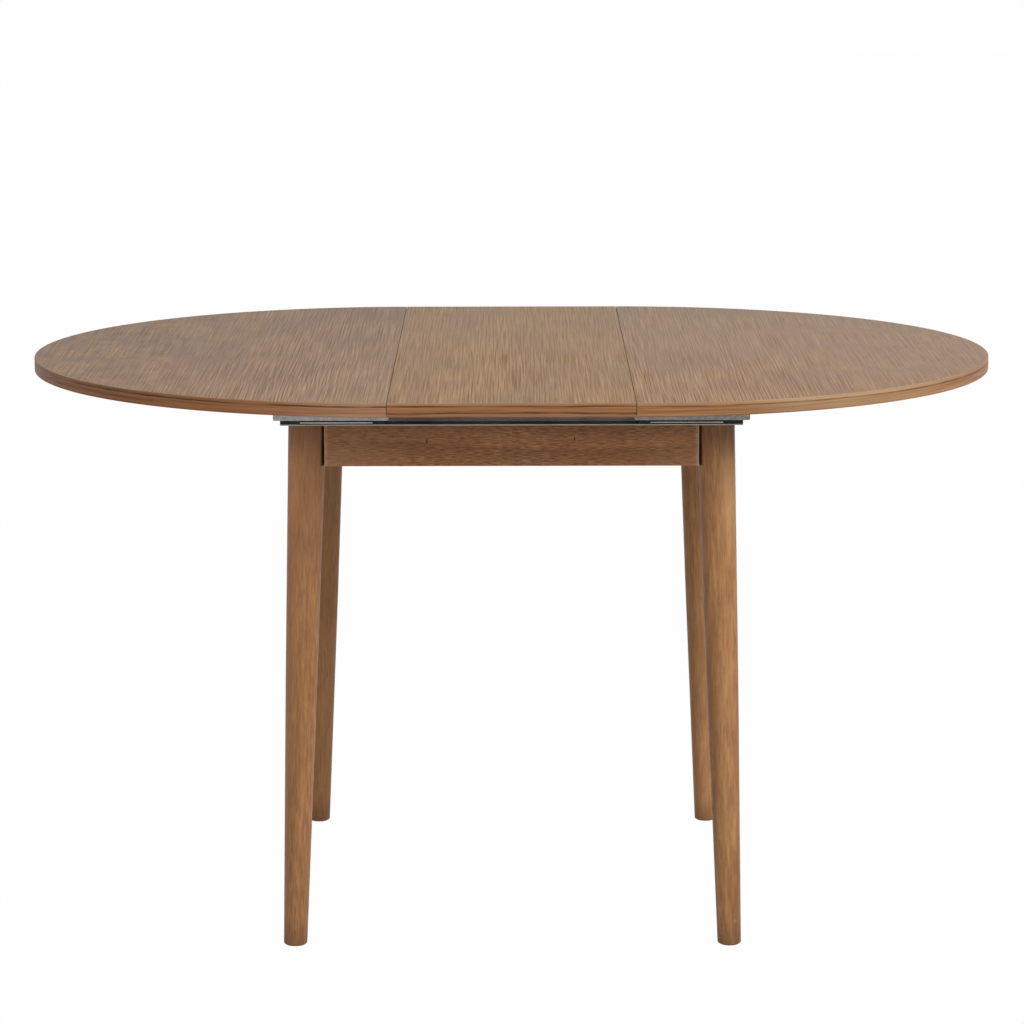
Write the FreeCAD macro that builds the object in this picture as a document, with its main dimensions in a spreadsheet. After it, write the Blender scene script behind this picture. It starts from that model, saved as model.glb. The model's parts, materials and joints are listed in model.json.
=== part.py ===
import FreeCAD, Part
import math
import os
import Sketcher
from FreeCAD import Placement, Rotation, Vector

# An extending table: a round top in two halves that run apart on metal rails, with one
# loose leaf dropped in between them, on a frame with four turned and splayed legs.
# X is the way the halves run, the front is at -Y, +Z is up and the floor is z = 0.
# Each piece is modelled at the right rear and mirrored to its other places.

# Driving sizes in millimetres: name, value, meaning
SIZES = (
    ("top_diameter", 1000, "Round top with its halves together"),
    ("leaf_opening", 317, "Opening between the halves, filled by the leaf"),
    ("seam_gap", 0.8, "Gap at each seam beside the leaf"),
    ("table_height", 755, "Floor to the upper face of the top"),
    ("top_thickness", 18, "Boards of the top and the leaf"),
    ("edge_band", 2, "Wooden band round the edge of the boards"),
    ("edge_round", 1.2, "Round on the outer edges of the bands"),
    ("leg_top_x", 268.1, "Leg axis at the frame's top, from the middle along X"),
    ("leg_top_y", 308.5, "Leg axis at the frame's top, from the middle along Y"),
    ("leg_splay", 22, "How far the foot stands out past the leg's top, each way"),
    ("leg_top_radius", 24.9, "Leg at its top"),
    ("leg_middle_radius", 21, "Leg half way down, a little fuller than a cone"),
    ("leg_foot_radius", 15.7, "Leg at its foot"),
    ("leg_foot_round", 1.8, "Round on the lower edge of the leg"),
    ("leg_seat_depth", 4, "Flat on the leg that sits on the corner block"),
    ("foot_pad_radius", 13, "Felt pad under the leg"),
    ("foot_pad_thickness", 1, "Felt pad under the leg"),
    ("apron_height", 55.2, "Height of the aprons"),
    ("apron_thickness", 20, "Thickness of the aprons"),
    ("apron_set_out", 17, "Outer face of the aprons past the leg axes"),
    ("apron_end_inset", 22.5, "Apron's end from the leg's axis"),
    ("apron_end_gap", 0.3, "Gap between the hollow in an apron's end and the leg"),
    ("apron_round", 1.5, "Round on the outer edges of the aprons"),
    ("block_depth", 42, "Corner block from its seat for the leg to its inner face"),
    ("block_height", 46, "Height of the corner blocks"),
    ("leg_bolt_radius", 4, "Hanger bolts that hold the legs"),
    ("leg_bolt_inset", 15, "Upper bolt below the frame's top"),
    ("leg_bolt_pitch", 22, "Lower bolt below the upper one"),
    ("leg_bolt_grip", 18, "Length of a bolt inside the leg"),
    ("leg_bolt_tail", 2.5, "End of a bolt past its nut"),
    ("bolt_clearance", 0.3, "Room round a bolt in block, washer and nut"),
    ("washer_radius", 9, "Washers under the nuts"),
    ("washer_thickness", 1.6, "Washers under the nuts"),
    ("nut_radius", 7.5, "Nuts, over their corners"),
    ("nut_height", 6.5, "Nuts"),
    ("screw_radius", 2, "Wood screws"),
    ("screw_head_radius", 4, "Heads of the wood screws"),
    ("screw_head_height", 2.4, "Heads of the wood screws"),
    ("screw_clearance", 0.1, "Room round a screw in its hole"),
    ("screw_tip_room", 0.5, "Room past a screw's tip in a blind hole"),
    ("block_screw_inset", 16, "Block screw from the block's thin end"),
    ("block_screw_land", 6, "Wood under the head of a block screw"),
    ("block_screw_length", 18, "Block screw under its head"),
    ("rail_screw_length", 14, "Rail screw under its head"),
    ("slider_screw_length", 14, "Slider screw under its head"),
    ("batten_screw_length", 28, "Batten screw under its head"),
    ("runner_height", 35.8, "Room for the runners between frame and top"),
    ("rail_reach", 28, "Flanges of the rail past its web"),
    ("rail_wall", 1.5, "Wall of the rail"),
    ("rail_skirt", 26, "Part of the rail's web that hangs behind the apron"),
    ("rail_skirt_gap", 20, "Room between the rail's skirt and a corner block"),
    ("slider_length", 151, "Length of a slider"),
    ("slider_inset", 2, "Slider's inner end from the straight edge of its half"),
    ("slider_gap", 1.5, "Room between the slider's face and the rail"),
    ("slider_wall", 1.5, "Sheet of the slider"),
    ("slider_lift", 7, "Slider's lower edge above the frame's top"),
    ("slider_flange", 26, "Flange that is screwed under the top"),
    ("slider_corner", 2, "Rounded lower corners of the slider's face"),
    ("slider_bend", 1, "Inner radius of the slider's upper bend"),
    ("flange_corner", 6, "Rounded corners of the slider's flange"),
    ("shelf_reach", 10, "Slider's shelf past the mouth of the rail"),
    ("shelf_outer_inset", 9, "Shelf from the slider's outer end"),
    ("shelf_inner_inset", 5, "Shelf from the slider's inner end"),
    ("tongue_lift", 2.85, "Slider's tongue above the frame's top"),
    ("tongue_inset", 1, "Slider's tongue behind the mouth of the rail"),
    ("inner_glide_length", 16, "Plastic glide on the shelf's inner end"),
    ("outer_glide_length", 26, "Plastic glide on the shelf's outer end"),
    ("running_gap", 0.3, "Room round what runs in the rail"),
    ("open_travel", 15, "Way a half can run past the leaf's seam"),
    ("stop_pin_radius", 3, "Pin that stops a half at the ends of the rail's slot"),
    ("stop_pin_depth", 11, "Length of that pin inside the glide"),
    ("stop_pin_tail", 2, "End of that pin past the rail's web"),
    ("batten_x", 85, "Middle of a leaf batten from the leaf's middle"),
    ("batten_width", 34, "Leaf battens"),
    ("batten_height", 18, "Leaf battens"),
    ("batten_end_gap", 0.8, "Room between a batten's end and the rail"),
    ("batten_chamfer", 6, "Lower ends of the battens"),
    ("cut_overrun", 1, "How far a cutting shape runs past what it cuts"),
)

# Sizes and places that follow from the driving sizes
PLACES = (
    ("top_radius", "Sizes.top_diameter / 2"),
    ("board_radius", "top_radius - Sizes.edge_band"),
    ("half_edge_x", "Sizes.leaf_opening / 2"),
    ("leaf_width", "Sizes.leaf_opening - 2 * Sizes.seam_gap"),
    ("underside", "Sizes.table_height - Sizes.top_thickness"),
    ("frame_top", "underside - Sizes.runner_height"),
    ("foot_x", "Sizes.leg_top_x + Sizes.leg_splay"),
    ("foot_y", "Sizes.leg_top_y + Sizes.leg_splay"),
    ("apron_bottom", "frame_top - Sizes.apron_height"),
    ("apron_outer_x", "Sizes.leg_top_x + Sizes.apron_set_out"),
    ("apron_outer_y", "Sizes.leg_top_y + Sizes.apron_set_out"),
    ("apron_inner_x", "apron_outer_x - Sizes.apron_thickness"),
    ("apron_inner_y", "apron_outer_y - Sizes.apron_thickness"),
    ("apron_end_x", "Sizes.leg_top_x - Sizes.apron_end_inset"),
    ("apron_end_y", "Sizes.leg_top_y - Sizes.apron_end_inset"),
    ("apron_hollow_radius", "Sizes.leg_top_radius + Sizes.apron_end_gap"),
    ("seat_offset", "(Sizes.leg_top_radius - Sizes.leg_seat_depth) / sqrt(2)"),
    ("seat_x", "Sizes.leg_top_x - seat_offset"),
    ("seat_y", "Sizes.leg_top_y - seat_offset"),
    ("seat_sum", "seat_x + seat_y"),
    ("block_sum", "seat_sum - Sizes.block_depth * sqrt(2)"),
    ("block_bottom", "frame_top - Sizes.block_height"),
    ("block_end_x", "block_sum - apron_inner_y"),
    ("block_end_y", "block_sum - apron_inner_x"),
    ("block_face_x", "seat_x - Sizes.block_depth / sqrt(2)"),
    ("block_face_y", "seat_y - Sizes.block_depth / sqrt(2)"),
    ("block_screw_x", "block_end_x + Sizes.block_screw_inset"),
    ("block_screw_y", "block_end_y + Sizes.block_screw_inset"),
    ("block_screw_z", "block_bottom + Sizes.block_height / 2"),
    ("screw_hole_radius", "Sizes.screw_radius + Sizes.screw_clearance"),
    ("rail_inner_y", "apron_inner_y - Sizes.rail_wall"),
    ("rail_outer_y", "apron_inner_y + Sizes.rail_reach"),
    ("channel_bottom", "frame_top + Sizes.rail_wall"),
    ("channel_top", "underside - Sizes.rail_wall"),
    ("channel_middle", "(channel_bottom + channel_top) / 2"),
    ("skirt_half_length", "block_end_x - Sizes.rail_skirt_gap"),
    ("skirt_middle", "frame_top - Sizes.rail_skirt / 2"),
    ("slider_inner_x", "half_edge_x + Sizes.slider_inset"),
    ("slider_outer_x", "slider_inner_x + Sizes.slider_length"),
    ("shelf_inner_x", "slider_inner_x + Sizes.shelf_inner_inset"),
    ("shelf_outer_x", "slider_outer_x - Sizes.shelf_outer_inset"),
    ("shelf_length", "shelf_outer_x - shelf_inner_x"),
    ("lip_length", "shelf_length - Sizes.inner_glide_length - Sizes.outer_glide_length"),
    ("face_inner_y", "rail_outer_y + Sizes.slider_gap"),
    ("face_outer_y", "face_inner_y + Sizes.slider_wall"),
    ("face_bottom", "frame_top + Sizes.slider_lift"),
    ("flange_tip_y", "face_outer_y + Sizes.slider_flange"),
    ("flange_middle_y", "(face_outer_y + flange_tip_y) / 2"),
    ("flange_bottom", "underside - Sizes.slider_wall"),
    ("shelf_inner_y", "rail_outer_y - Sizes.shelf_reach"),
    ("shelf_top", "face_bottom + Sizes.slider_wall"),
    ("lip_outer_y", "shelf_inner_y + Sizes.slider_wall"),
    ("tongue_bottom", "frame_top + Sizes.tongue_lift"),
    ("tongue_top", "tongue_bottom + Sizes.slider_wall"),
    ("tongue_outer_y", "rail_outer_y - Sizes.tongue_inset"),
    ("glide_bottom", "channel_bottom + Sizes.running_gap"),
    ("glide_height", "channel_top - Sizes.running_gap - glide_bottom"),
    ("glide_inner_y", "apron_inner_y + Sizes.running_gap"),
    ("stop_pin_x", "shelf_inner_x + Sizes.inner_glide_length / 2"),
    ("batten_half_length", "rail_inner_y - Sizes.batten_end_gap"),
    ("batten_bottom", "underside - Sizes.batten_height"),
)

slider_screw_shares = (0.1, 0.5, 0.9)
rail_screw_shares = (-0.9, -0.3, 0.3, 0.9)
batten_screw_shares = (-0.85, 0, 0.85)
screw_head_top_share = 0.7
leg_splay_shares = (1, 0.5, 0)

UP = Vector(0, 0, 1)
ALONG_X = Vector(1, 0, 0)
ALONG_Y = Vector(0, 1, 0)
OUTWARD = Vector(1, 1, 0)
INWARD_TURN = 225
PICK_TOLERANCE = 1e-3

doc = FreeCAD.newDocument("extending_table")
nodes = []


def fill_sheet(name, rows):
    """Write rows of alias, content and note into a new sheet."""
    sheet = doc.addObject("Spreadsheet::Sheet", name)
    for row, (alias, content, note) in enumerate(rows, start=1):
        sheet.set(f"A{row}", note)
        sheet.set(f"B{row}", content)
        sheet.setAlias(f"B{row}", alias)
    doc.recompute()
    return sheet


sizes = fill_sheet("Sizes", [(alias, str(value), note) for alias, value, note in SIZES])
fill_sheet("Places", [(alias, f"={formula}", alias) for alias, formula in PLACES])


def number(formula):
    """The value of a formula over the two sheets."""
    return float(sizes.evalExpression(formula))


def keep(piece, label):
    """Name a finished piece and list it as a node."""
    piece.Label = label
    nodes.append(piece)
    return piece


def place(thing, start, direction=UP):
    """Stand a shape's own Z along a direction, from a start given by three formulas."""
    thing.Placement = Placement(Vector(), Rotation(UP, direction))
    for axis, formula in zip("xyz", start):
        thing.setExpression(f"Placement.Base.{axis}", formula)


def box(name, extent, corner):
    """A box from its lower corner, with extent and corner given by formulas."""
    thing = doc.addObject("Part::Box", name)
    for side, formula in zip(("Length", "Width", "Height"), extent):
        thing.setExpression(side, formula)
    place(thing, corner)
    return thing


def cylinder(name, radius, length, start, direction=UP):
    thing = doc.addObject("Part::Cylinder", name)
    thing.setExpression("Radius", radius)
    thing.setExpression("Height", length)
    place(thing, start, direction)
    return thing


def group(name, pieces):
    """Several solids as one piece."""
    compound = doc.addObject("Part::Compound", name)
    compound.Links = pieces
    return compound


def cut(name, base, tools):
    """A piece with a list of shapes cut out of it."""
    result = doc.addObject("Part::Cut", name)
    result.Base = base
    result.Tool = group(f"{name}_cuts", tools)
    return result


def mirrored(source, name, normal):
    """The piece on the other side of the plane through the origin across normal."""
    copy = doc.addObject("Part::Mirroring", name)
    copy.Source = source
    copy.Normal = normal
    return copy


def at_four_corners(name, piece):
    """A right rear piece at all four corners, as one group."""
    front = mirrored(piece, f"{name}_front", ALONG_Y)
    right = group(f"{name}_right", [piece, front])
    return group(name, [right, mirrored(right, f"{name}_left", ALONG_X)])


def front_and_rear(name, piece):
    """A rear piece and its copy at the front, as one group."""
    return group(name, [piece, mirrored(piece, f"{name}_front", ALONG_Y)])


def screw(name, start, direction, length):
    """A wood screw, with start under its head and direction the way it is driven."""
    shank = cylinder(f"{name}_shank", "Sizes.screw_radius", length, start, direction)
    head = doc.addObject("Part::Cone", f"{name}_head")
    head.setExpression("Radius1", "Sizes.screw_head_radius")
    head.setExpression("Radius2", f"Sizes.screw_head_radius * {screw_head_top_share}")
    head.setExpression("Height", "Sizes.screw_head_height")
    place(head, start, -direction)
    whole = doc.addObject("Part::Fuse", name)
    whole.Base = head
    whole.Tool = shank
    return whole


def origin_plane(body, role):
    return next(part for part in body.Origin.OriginFeatures if part.Role == role)


def new_sketch(body, name, role, offset):
    """A sketch on one of the body's own planes, moved along that plane's normal."""
    sketch = body.newObject("Sketcher::SketchObject", name)
    sketch.AttachmentSupport = (origin_plane(body, role), "")
    sketch.MapMode = "FlatFace"
    sketch.setExpression("AttachmentOffset.Base.z", offset)
    return sketch


def bind_constraint(sketch, kind, references, formula):
    """A dimension in a sketch that follows a formula."""
    index = sketch.addConstraint(Sketcher.Constraint(kind, *references, number(formula)))
    sketch.setExpression(f"Constraints[{index}]", formula)


def pin_point(sketch, geometry, point, across, up):
    """Fix a point of a sketch by its two coordinates, given by formulas."""
    bind_constraint(sketch, "DistanceX", (-1, 1, geometry, point), across)
    bind_constraint(sketch, "DistanceY", (-1, 1, geometry, point), up)


def polygon(sketch, corners):
    """A closed outline of straight lines through corners given by formulas."""
    points = [Vector(number(across), number(up), 0) for across, up in corners]
    following = points[1:] + points[:1]
    lines = sketch.addGeometry([Part.LineSegment(a, b) for a, b in zip(points, following)])
    for line, after in zip(lines, lines[1:] + lines[:1]):
        sketch.addConstraint(Sketcher.Constraint("Coincident", line, 2, after, 1))
    for line, (across, up) in zip(lines, corners):
        pin_point(sketch, line, 1, across, up)


def rectangle(sketch, left, right, bottom, top):
    polygon(sketch, [(left, bottom), (right, bottom), (right, top), (left, top)])


def circle(sketch, radius, across, up):
    centre = Vector(number(across), number(up), 0)
    ring = sketch.addGeometry(Part.Circle(centre, UP, number(radius)))
    pin_point(sketch, ring, 3, across, up)
    bind_constraint(sketch, "Radius", (ring,), radius)


def half_circle(sketch, radius):
    """An arc on the right of the half's straight edge, from front to rear."""
    centre = Vector(number("Places.half_edge_x"), 0, 0)
    whole = Part.Circle(centre, UP, number(radius))
    arc = sketch.addGeometry(Part.ArcOfCircle(whole, -math.pi / 2, math.pi / 2))
    sketch.addConstraint(Sketcher.Constraint("PointOnObject", arc, 3, -1))
    bind_constraint(sketch, "DistanceX", (-1, 1, arc, 3), "Places.half_edge_x")
    bind_constraint(sketch, "Radius", (arc,), radius)
    return arc


def straight_edge(sketch, first, second):
    """An upright line between two ends of arcs, each given as geometry and point."""
    points = [sketch.getPoint(*first), sketch.getPoint(*second)]
    line = sketch.addGeometry(Part.LineSegment(*points))
    sketch.addConstraint(Sketcher.Constraint("Coincident", line, 1, *first))
    sketch.addConstraint(Sketcher.Constraint("Coincident", line, 2, *second))
    sketch.addConstraint(Sketcher.Constraint("Vertical", line))
    return line


def slot(sketch, radius, start, end, up):
    """A level slot with round ends, centred on start and end."""
    half = number(radius)
    height = number(up)
    first = Vector(number(start), height, 0)
    last = Vector(number(end), height, 0)
    rise = Vector(0, half, 0)
    left, right = sketch.addGeometry([
        Part.ArcOfCircle(Part.Circle(first, UP, half), math.pi / 2, 3 * math.pi / 2),
        Part.ArcOfCircle(Part.Circle(last, UP, half), -math.pi / 2, math.pi / 2),
    ])
    lower, upper = sketch.addGeometry([
        Part.LineSegment(first - rise, last - rise),
        Part.LineSegment(last + rise, first + rise),
    ])
    ends = ((left, 2, lower, 1), (lower, 2, right, 1), (right, 2, upper, 1), (upper, 2, left, 1))
    for pair in ends:
        sketch.addConstraint(Sketcher.Constraint("Tangent", *pair))
    pin_point(sketch, left, 3, start, up)
    bind_constraint(sketch, "DistanceX", (-1, 1, right, 3), end)
    bind_constraint(sketch, "Radius", (left,), radius)


def pad(body, sketch, length, both_ways=False):
    feature = body.newObject("PartDesign::Pad", f"{sketch.Name}_pad")
    feature.Profile = sketch
    feature.setExpression("Length", length)
    if both_ways:
        feature.SideType = "Symmetric"
    doc.recompute()


def pocket(body, sketch, depth, along_normal=False):
    """Cut a sketch into the body, and make sure that it met the solid."""
    before = body.Shape.Volume
    feature = body.newObject("PartDesign::Pocket", f"{sketch.Name}_pocket")
    feature.Profile = sketch
    feature.setExpression("Length", depth)
    feature.Reversed = along_normal
    doc.recompute()
    if body.Shape.Volume >= before:
        raise RuntimeError(f"{feature.Name} cuts nothing")


def fillet(body, name, radius, edges):
    base = body.Tip
    feature = body.newObject("PartDesign::Fillet", name)
    feature.Base = (base, edges)
    feature.setExpression("Radius", radius)
    doc.recompute()


def lies_at(edge, where):
    """True where all of an edge has these coordinates, such as {"Z": "Places.underside"}."""
    limits = edge.BoundBox
    for axis, formula in where.items():
        for end in ("Min", "Max"):
            if abs(getattr(limits, axis + end) - number(formula)) > PICK_TOLERANCE:
                return False
    return True


def edges_at(shape, *wheres):
    """Numbers of the edges that lie at any of the given coordinates."""
    return [
        index
        for index, edge in enumerate(shape.Edges, start=1)
        if any(lies_at(edge, where) for where in wheres)
    ]


def edge_names(shape, *wheres):
    return [f"Edge{index}" for index in edges_at(shape, *wheres)]


def slider_screw_places():
    """Where the slider's screws go up into the half's board."""
    for share in slider_screw_shares:
        yield f"Places.slider_inner_x + Sizes.slider_length * {share}", "Places.flange_middle_y"


def rail_screw_places():
    """Where the rail's skirt is screwed to the apron behind it, along X."""
    return [f"Places.skirt_half_length * {share}" for share in rail_screw_shares]


def batten_screw_places():
    """Where a batten is screwed to the leaf, along Y."""
    return [f"Places.batten_half_length * {share}" for share in batten_screw_shares]


def make_half_top():
    """The half-disc boards and the bands bent round their edges."""
    board = doc.addObject("PartDesign::Body", "right_board")
    outline = new_sketch(board, "board_outline", "XY_Plane", "Places.underside")
    arc = half_circle(outline, "Places.board_radius")
    straight_edge(outline, (arc, 1), (arc, 2))
    pad(board, outline, "Sizes.top_thickness")
    pilots = new_sketch(board, "board_pilots", "XY_Plane", "Places.underside")
    for across, up in slider_screw_places():
        circle(pilots, "Places.screw_hole_radius", across, up)
        circle(pilots, "Places.screw_hole_radius", across, f"-{up}")
    depth = "Sizes.slider_screw_length - Sizes.slider_wall + Sizes.screw_tip_room"
    pocket(board, pilots, depth, along_normal=True)

    band = doc.addObject("PartDesign::Body", "right_edge_band")
    ring = new_sketch(band, "band_outline", "XY_Plane", "Places.underside")
    inner = half_circle(ring, "Places.board_radius")
    outer = half_circle(ring, "Places.top_radius")
    straight_edge(ring, (inner, 1), (outer, 1))
    straight_edge(ring, (inner, 2), (outer, 2))
    pad(band, ring, "Sizes.top_thickness")
    rims = [
        f"Edge{index}"
        for index, edge in enumerate(band.Shape.Edges, start=1)
        if edge.BoundBox.XMax > number("Places.half_edge_x + Places.board_radius") + PICK_TOLERANCE
        and edge.BoundBox.ZLength < PICK_TOLERANCE
    ]
    fillet(band, "band_round", "Sizes.edge_round", rims)

    for piece in (board, band):
        keep(piece, piece.Name)
        name = piece.Name.replace("right", "left")
        keep(mirrored(piece, name, ALONG_X), name)


def make_leaf():
    """The loose leaf, its two edge bands and the battens that lie between the rails."""
    board = doc.addObject("PartDesign::Body", "leaf_board")
    outline = new_sketch(board, "leaf_outline", "XY_Plane", "Places.underside")
    half_width = "Places.leaf_width / 2"
    radius = "Places.board_radius"
    rectangle(outline, f"-{half_width}", half_width, f"-{radius}", radius)
    pad(board, outline, "Sizes.top_thickness")
    pilots = new_sketch(board, "leaf_pilots", "XY_Plane", "Places.underside")
    for up in batten_screw_places():
        circle(pilots, "Places.screw_hole_radius", "Sizes.batten_x", up)
        circle(pilots, "Places.screw_hole_radius", "-Sizes.batten_x", up)
    depth = "Sizes.batten_screw_length - Sizes.batten_height + Sizes.screw_tip_room"
    pocket(board, pilots, depth, along_normal=True)
    keep(board, "leaf_board")

    strip = box(
        "leaf_band_strip",
        ("Places.leaf_width", "Sizes.edge_band", "Sizes.top_thickness"),
        ("-Places.leaf_width / 2", "Places.board_radius", "Places.underside"),
    )
    doc.recompute()
    rims = edges_at(
        strip.Shape,
        {"Y": "Places.top_radius", "Z": "Places.underside"},
        {"Y": "Places.top_radius", "Z": "Sizes.table_height"},
    )
    band = doc.addObject("Part::Fillet", "leaf_rear_band")
    band.Base = strip
    band.Edges = [(rim, number("Sizes.edge_round"), number("Sizes.edge_round")) for rim in rims]
    keep(band, "leaf_rear_band")
    keep(mirrored(band, "leaf_front_band", ALONG_Y), "leaf_front_band")

    make_battens()


def make_battens():
    bar = box(
        "batten_bar",
        ("Sizes.batten_width", "2 * Places.batten_half_length", "Sizes.batten_height"),
        ("Sizes.batten_x - Sizes.batten_width / 2", "-Places.batten_half_length", "Places.batten_bottom"),
    )
    doc.recompute()
    ends = edges_at(
        bar.Shape,
        {"Y": "Places.batten_half_length", "Z": "Places.batten_bottom"},
        {"Y": "-Places.batten_half_length", "Z": "Places.batten_bottom"},
    )
    slanted = doc.addObject("Part::Chamfer", "batten_slanted")
    slanted.Base = bar
    slanted.Edges = [(end, number("Sizes.batten_chamfer"), number("Sizes.batten_chamfer")) for end in ends]
    holes = []
    screws = []
    for count, up in enumerate(batten_screw_places()):
        start = ("Sizes.batten_x", up, "Places.batten_bottom")
        length = "Sizes.batten_height"
        holes.append(cylinder(f"batten_hole_{count}", "Places.screw_hole_radius", length, start))
        screws.append(screw(f"batten_screw_{count}", start, UP, "Sizes.batten_screw_length"))
    batten = cut("leaf_right_batten", slanted, holes)
    keep(batten, "leaf_right_batten")
    keep(mirrored(batten, "leaf_left_batten", ALONG_X), "leaf_left_batten")
    right = group("batten_screws_right", screws)
    left = mirrored(right, "batten_screws_left", ALONG_X)
    keep(group("leaf_batten_screws", [right, left]), "leaf_batten_screws")


def hollow_ends(apron, *legs):
    """Hollow both ends of an apron so that they fit round two legs, each given by X and Y."""
    hollows = new_sketch(apron, f"{apron.Name}_hollows", "XY_Plane", "Places.apron_bottom")
    for across, up in legs:
        circle(hollows, "Places.apron_hollow_radius", across, up)
    pocket(apron, hollows, "Sizes.apron_height", along_normal=True)


def make_aprons():
    """Four boards between the legs, with hollowed ends and pilot holes in their inner faces."""
    heights = ("Places.apron_bottom", "Places.frame_top")
    long_apron = doc.addObject("PartDesign::Body", "rear_apron")
    section = new_sketch(long_apron, "rear_apron_section", "YZ_Plane", "0")
    rectangle(section, "Places.apron_inner_y", "Places.apron_outer_y", *heights)
    pad(long_apron, section, "2 * Places.apron_end_x", both_ways=True)
    rims = edge_names(
        long_apron.Shape,
        {"Y": "Places.apron_outer_y", "Z": "Places.apron_bottom"},
        {"Y": "Places.apron_outer_y", "X": "Places.apron_end_x"},
        {"Y": "Places.apron_outer_y", "X": "-Places.apron_end_x"},
        {"Y": "Places.apron_inner_y", "Z": "Places.apron_bottom"},
    )
    fillet(long_apron, "rear_apron_round", "Sizes.apron_round", rims)
    rear_right_leg = ("Sizes.leg_top_x", "Sizes.leg_top_y")
    hollow_ends(long_apron, rear_right_leg, ("-Sizes.leg_top_x", "Sizes.leg_top_y"))
    rail_pilots = new_sketch(long_apron, "rail_pilots", "XZ_Plane", "-Places.apron_inner_y")
    for across in rail_screw_places():
        circle(rail_pilots, "Places.screw_hole_radius", across, "Places.skirt_middle")
    pocket(long_apron, rail_pilots, "Sizes.rail_screw_length - Sizes.rail_wall + Sizes.screw_tip_room")
    block_pilots = new_sketch(long_apron, "rear_block_pilots", "XZ_Plane", "-Places.apron_inner_y")
    depth = "Sizes.block_screw_length - Sizes.block_screw_land + Sizes.screw_tip_room"
    for across in ("Places.block_screw_x", "-Places.block_screw_x"):
        circle(block_pilots, "Places.screw_hole_radius", across, "Places.block_screw_z")
    pocket(long_apron, block_pilots, depth)
    keep(long_apron, "rear_apron")
    keep(mirrored(long_apron, "front_apron", ALONG_Y), "front_apron")

    side_apron = doc.addObject("PartDesign::Body", "right_apron")
    section = new_sketch(side_apron, "right_apron_section", "XZ_Plane", "0")
    rectangle(section, "Places.apron_inner_x", "Places.apron_outer_x", *heights)
    pad(side_apron, section, "2 * Places.apron_end_y", both_ways=True)
    rims = edge_names(
        side_apron.Shape,
        {"X": "Places.apron_outer_x", "Z": "Places.apron_bottom"},
        {"X": "Places.apron_outer_x", "Y": "Places.apron_end_y"},
        {"X": "Places.apron_outer_x", "Y": "-Places.apron_end_y"},
        {"X": "Places.apron_inner_x", "Z": "Places.apron_bottom"},
    )
    fillet(side_apron, "right_apron_round", "Sizes.apron_round", rims)
    hollow_ends(side_apron, rear_right_leg, ("Sizes.leg_top_x", "-Sizes.leg_top_y"))
    block_pilots = new_sketch(side_apron, "right_block_pilots", "YZ_Plane", "Places.apron_inner_x")
    for across in ("Places.block_screw_y", "-Places.block_screw_y"):
        circle(block_pilots, "Places.screw_hole_radius", across, "Places.block_screw_z")
    pocket(side_apron, block_pilots, depth, along_normal=True)
    keep(side_apron, "right_apron")
    keep(mirrored(side_apron, "left_apron", ALONG_X), "left_apron")


def keep_four(piece, name):
    """Keep a right rear piece and its copies at the other corners as separate nodes."""
    keep(piece, f"rear_right_{name}")
    front = mirrored(piece, f"front_right_{name}", ALONG_Y)
    keep(front, f"front_right_{name}")
    keep(mirrored(piece, f"rear_left_{name}", ALONG_X), f"rear_left_{name}")
    keep(mirrored(front, f"front_left_{name}", ALONG_X), f"front_left_{name}")


def leg_bolt_heights():
    upper = "Places.frame_top - Sizes.leg_bolt_inset"
    return (upper, f"{upper} - Sizes.leg_bolt_pitch")


def make_legs():
    """Turned legs: two tapers between level rings, with a flat and bolt holes at the top."""
    levels = (
        ("foot", "Sizes.leg_foot_radius", "Sizes.foot_pad_thickness"),
        ("middle", "Sizes.leg_middle_radius", "(Places.frame_top + Sizes.foot_pad_thickness) / 2"),
        ("top", "Sizes.leg_top_radius", "Places.frame_top"),
    )
    rings = []
    for (level, radius, height), splay_share in zip(levels, leg_splay_shares):
        ring = doc.addObject("Part::Circle", f"leg_{level}_ring")
        ring.setExpression("Radius", radius)
        shift = f"Sizes.leg_splay * {splay_share}"
        place(ring, (f"Sizes.leg_top_x + {shift}", f"Sizes.leg_top_y + {shift}", height))
        rings.append(ring)
    turned = doc.addObject("Part::Loft", "leg_turned")
    turned.Sections = rings
    turned.Solid = True
    turned.Ruled = True
    doc.recompute()
    eased = doc.addObject("Part::Fillet", "leg_eased")
    eased.Base = turned
    rims = edges_at(turned.Shape, {"Z": "Sizes.foot_pad_thickness"})
    eased.Edges = [(rim, number("Sizes.leg_foot_round"), number("Sizes.leg_foot_round")) for rim in rims]
    flat = box(
        "leg_flat",
        ("Sizes.leg_top_radius", "2 * Sizes.leg_top_radius", "Sizes.apron_height + Sizes.cut_overrun"),
        (
            "Places.seat_x - Sizes.leg_top_radius / sqrt(2)",
            "Places.seat_y + Sizes.leg_top_radius / sqrt(2)",
            "Places.apron_bottom",
        ),
    )
    flat.Placement.Rotation = Rotation(UP, INWARD_TURN)
    holes = [
        cylinder(
            f"leg_bolt_hole_{count}",
            "Sizes.leg_bolt_radius",
            "Sizes.leg_bolt_grip",
            ("Places.seat_x", "Places.seat_y", height),
            OUTWARD,
        )
        for count, height in enumerate(leg_bolt_heights())
    ]
    keep_four(cut("rear_right_leg", eased, [flat, *holes]), "leg")
    foot_pad = cylinder(
        "rear_right_foot_pad",
        "Sizes.foot_pad_radius",
        "Sizes.foot_pad_thickness",
        ("Places.foot_x", "Places.foot_y", "0"),
    )
    keep_four(foot_pad, "foot_pad")


def before_block(distance, height):
    """A point in front of the block's inner face, by this much along X and along Y."""
    return (f"Places.block_face_x - {distance}", f"Places.block_face_y - {distance}", height)


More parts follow.
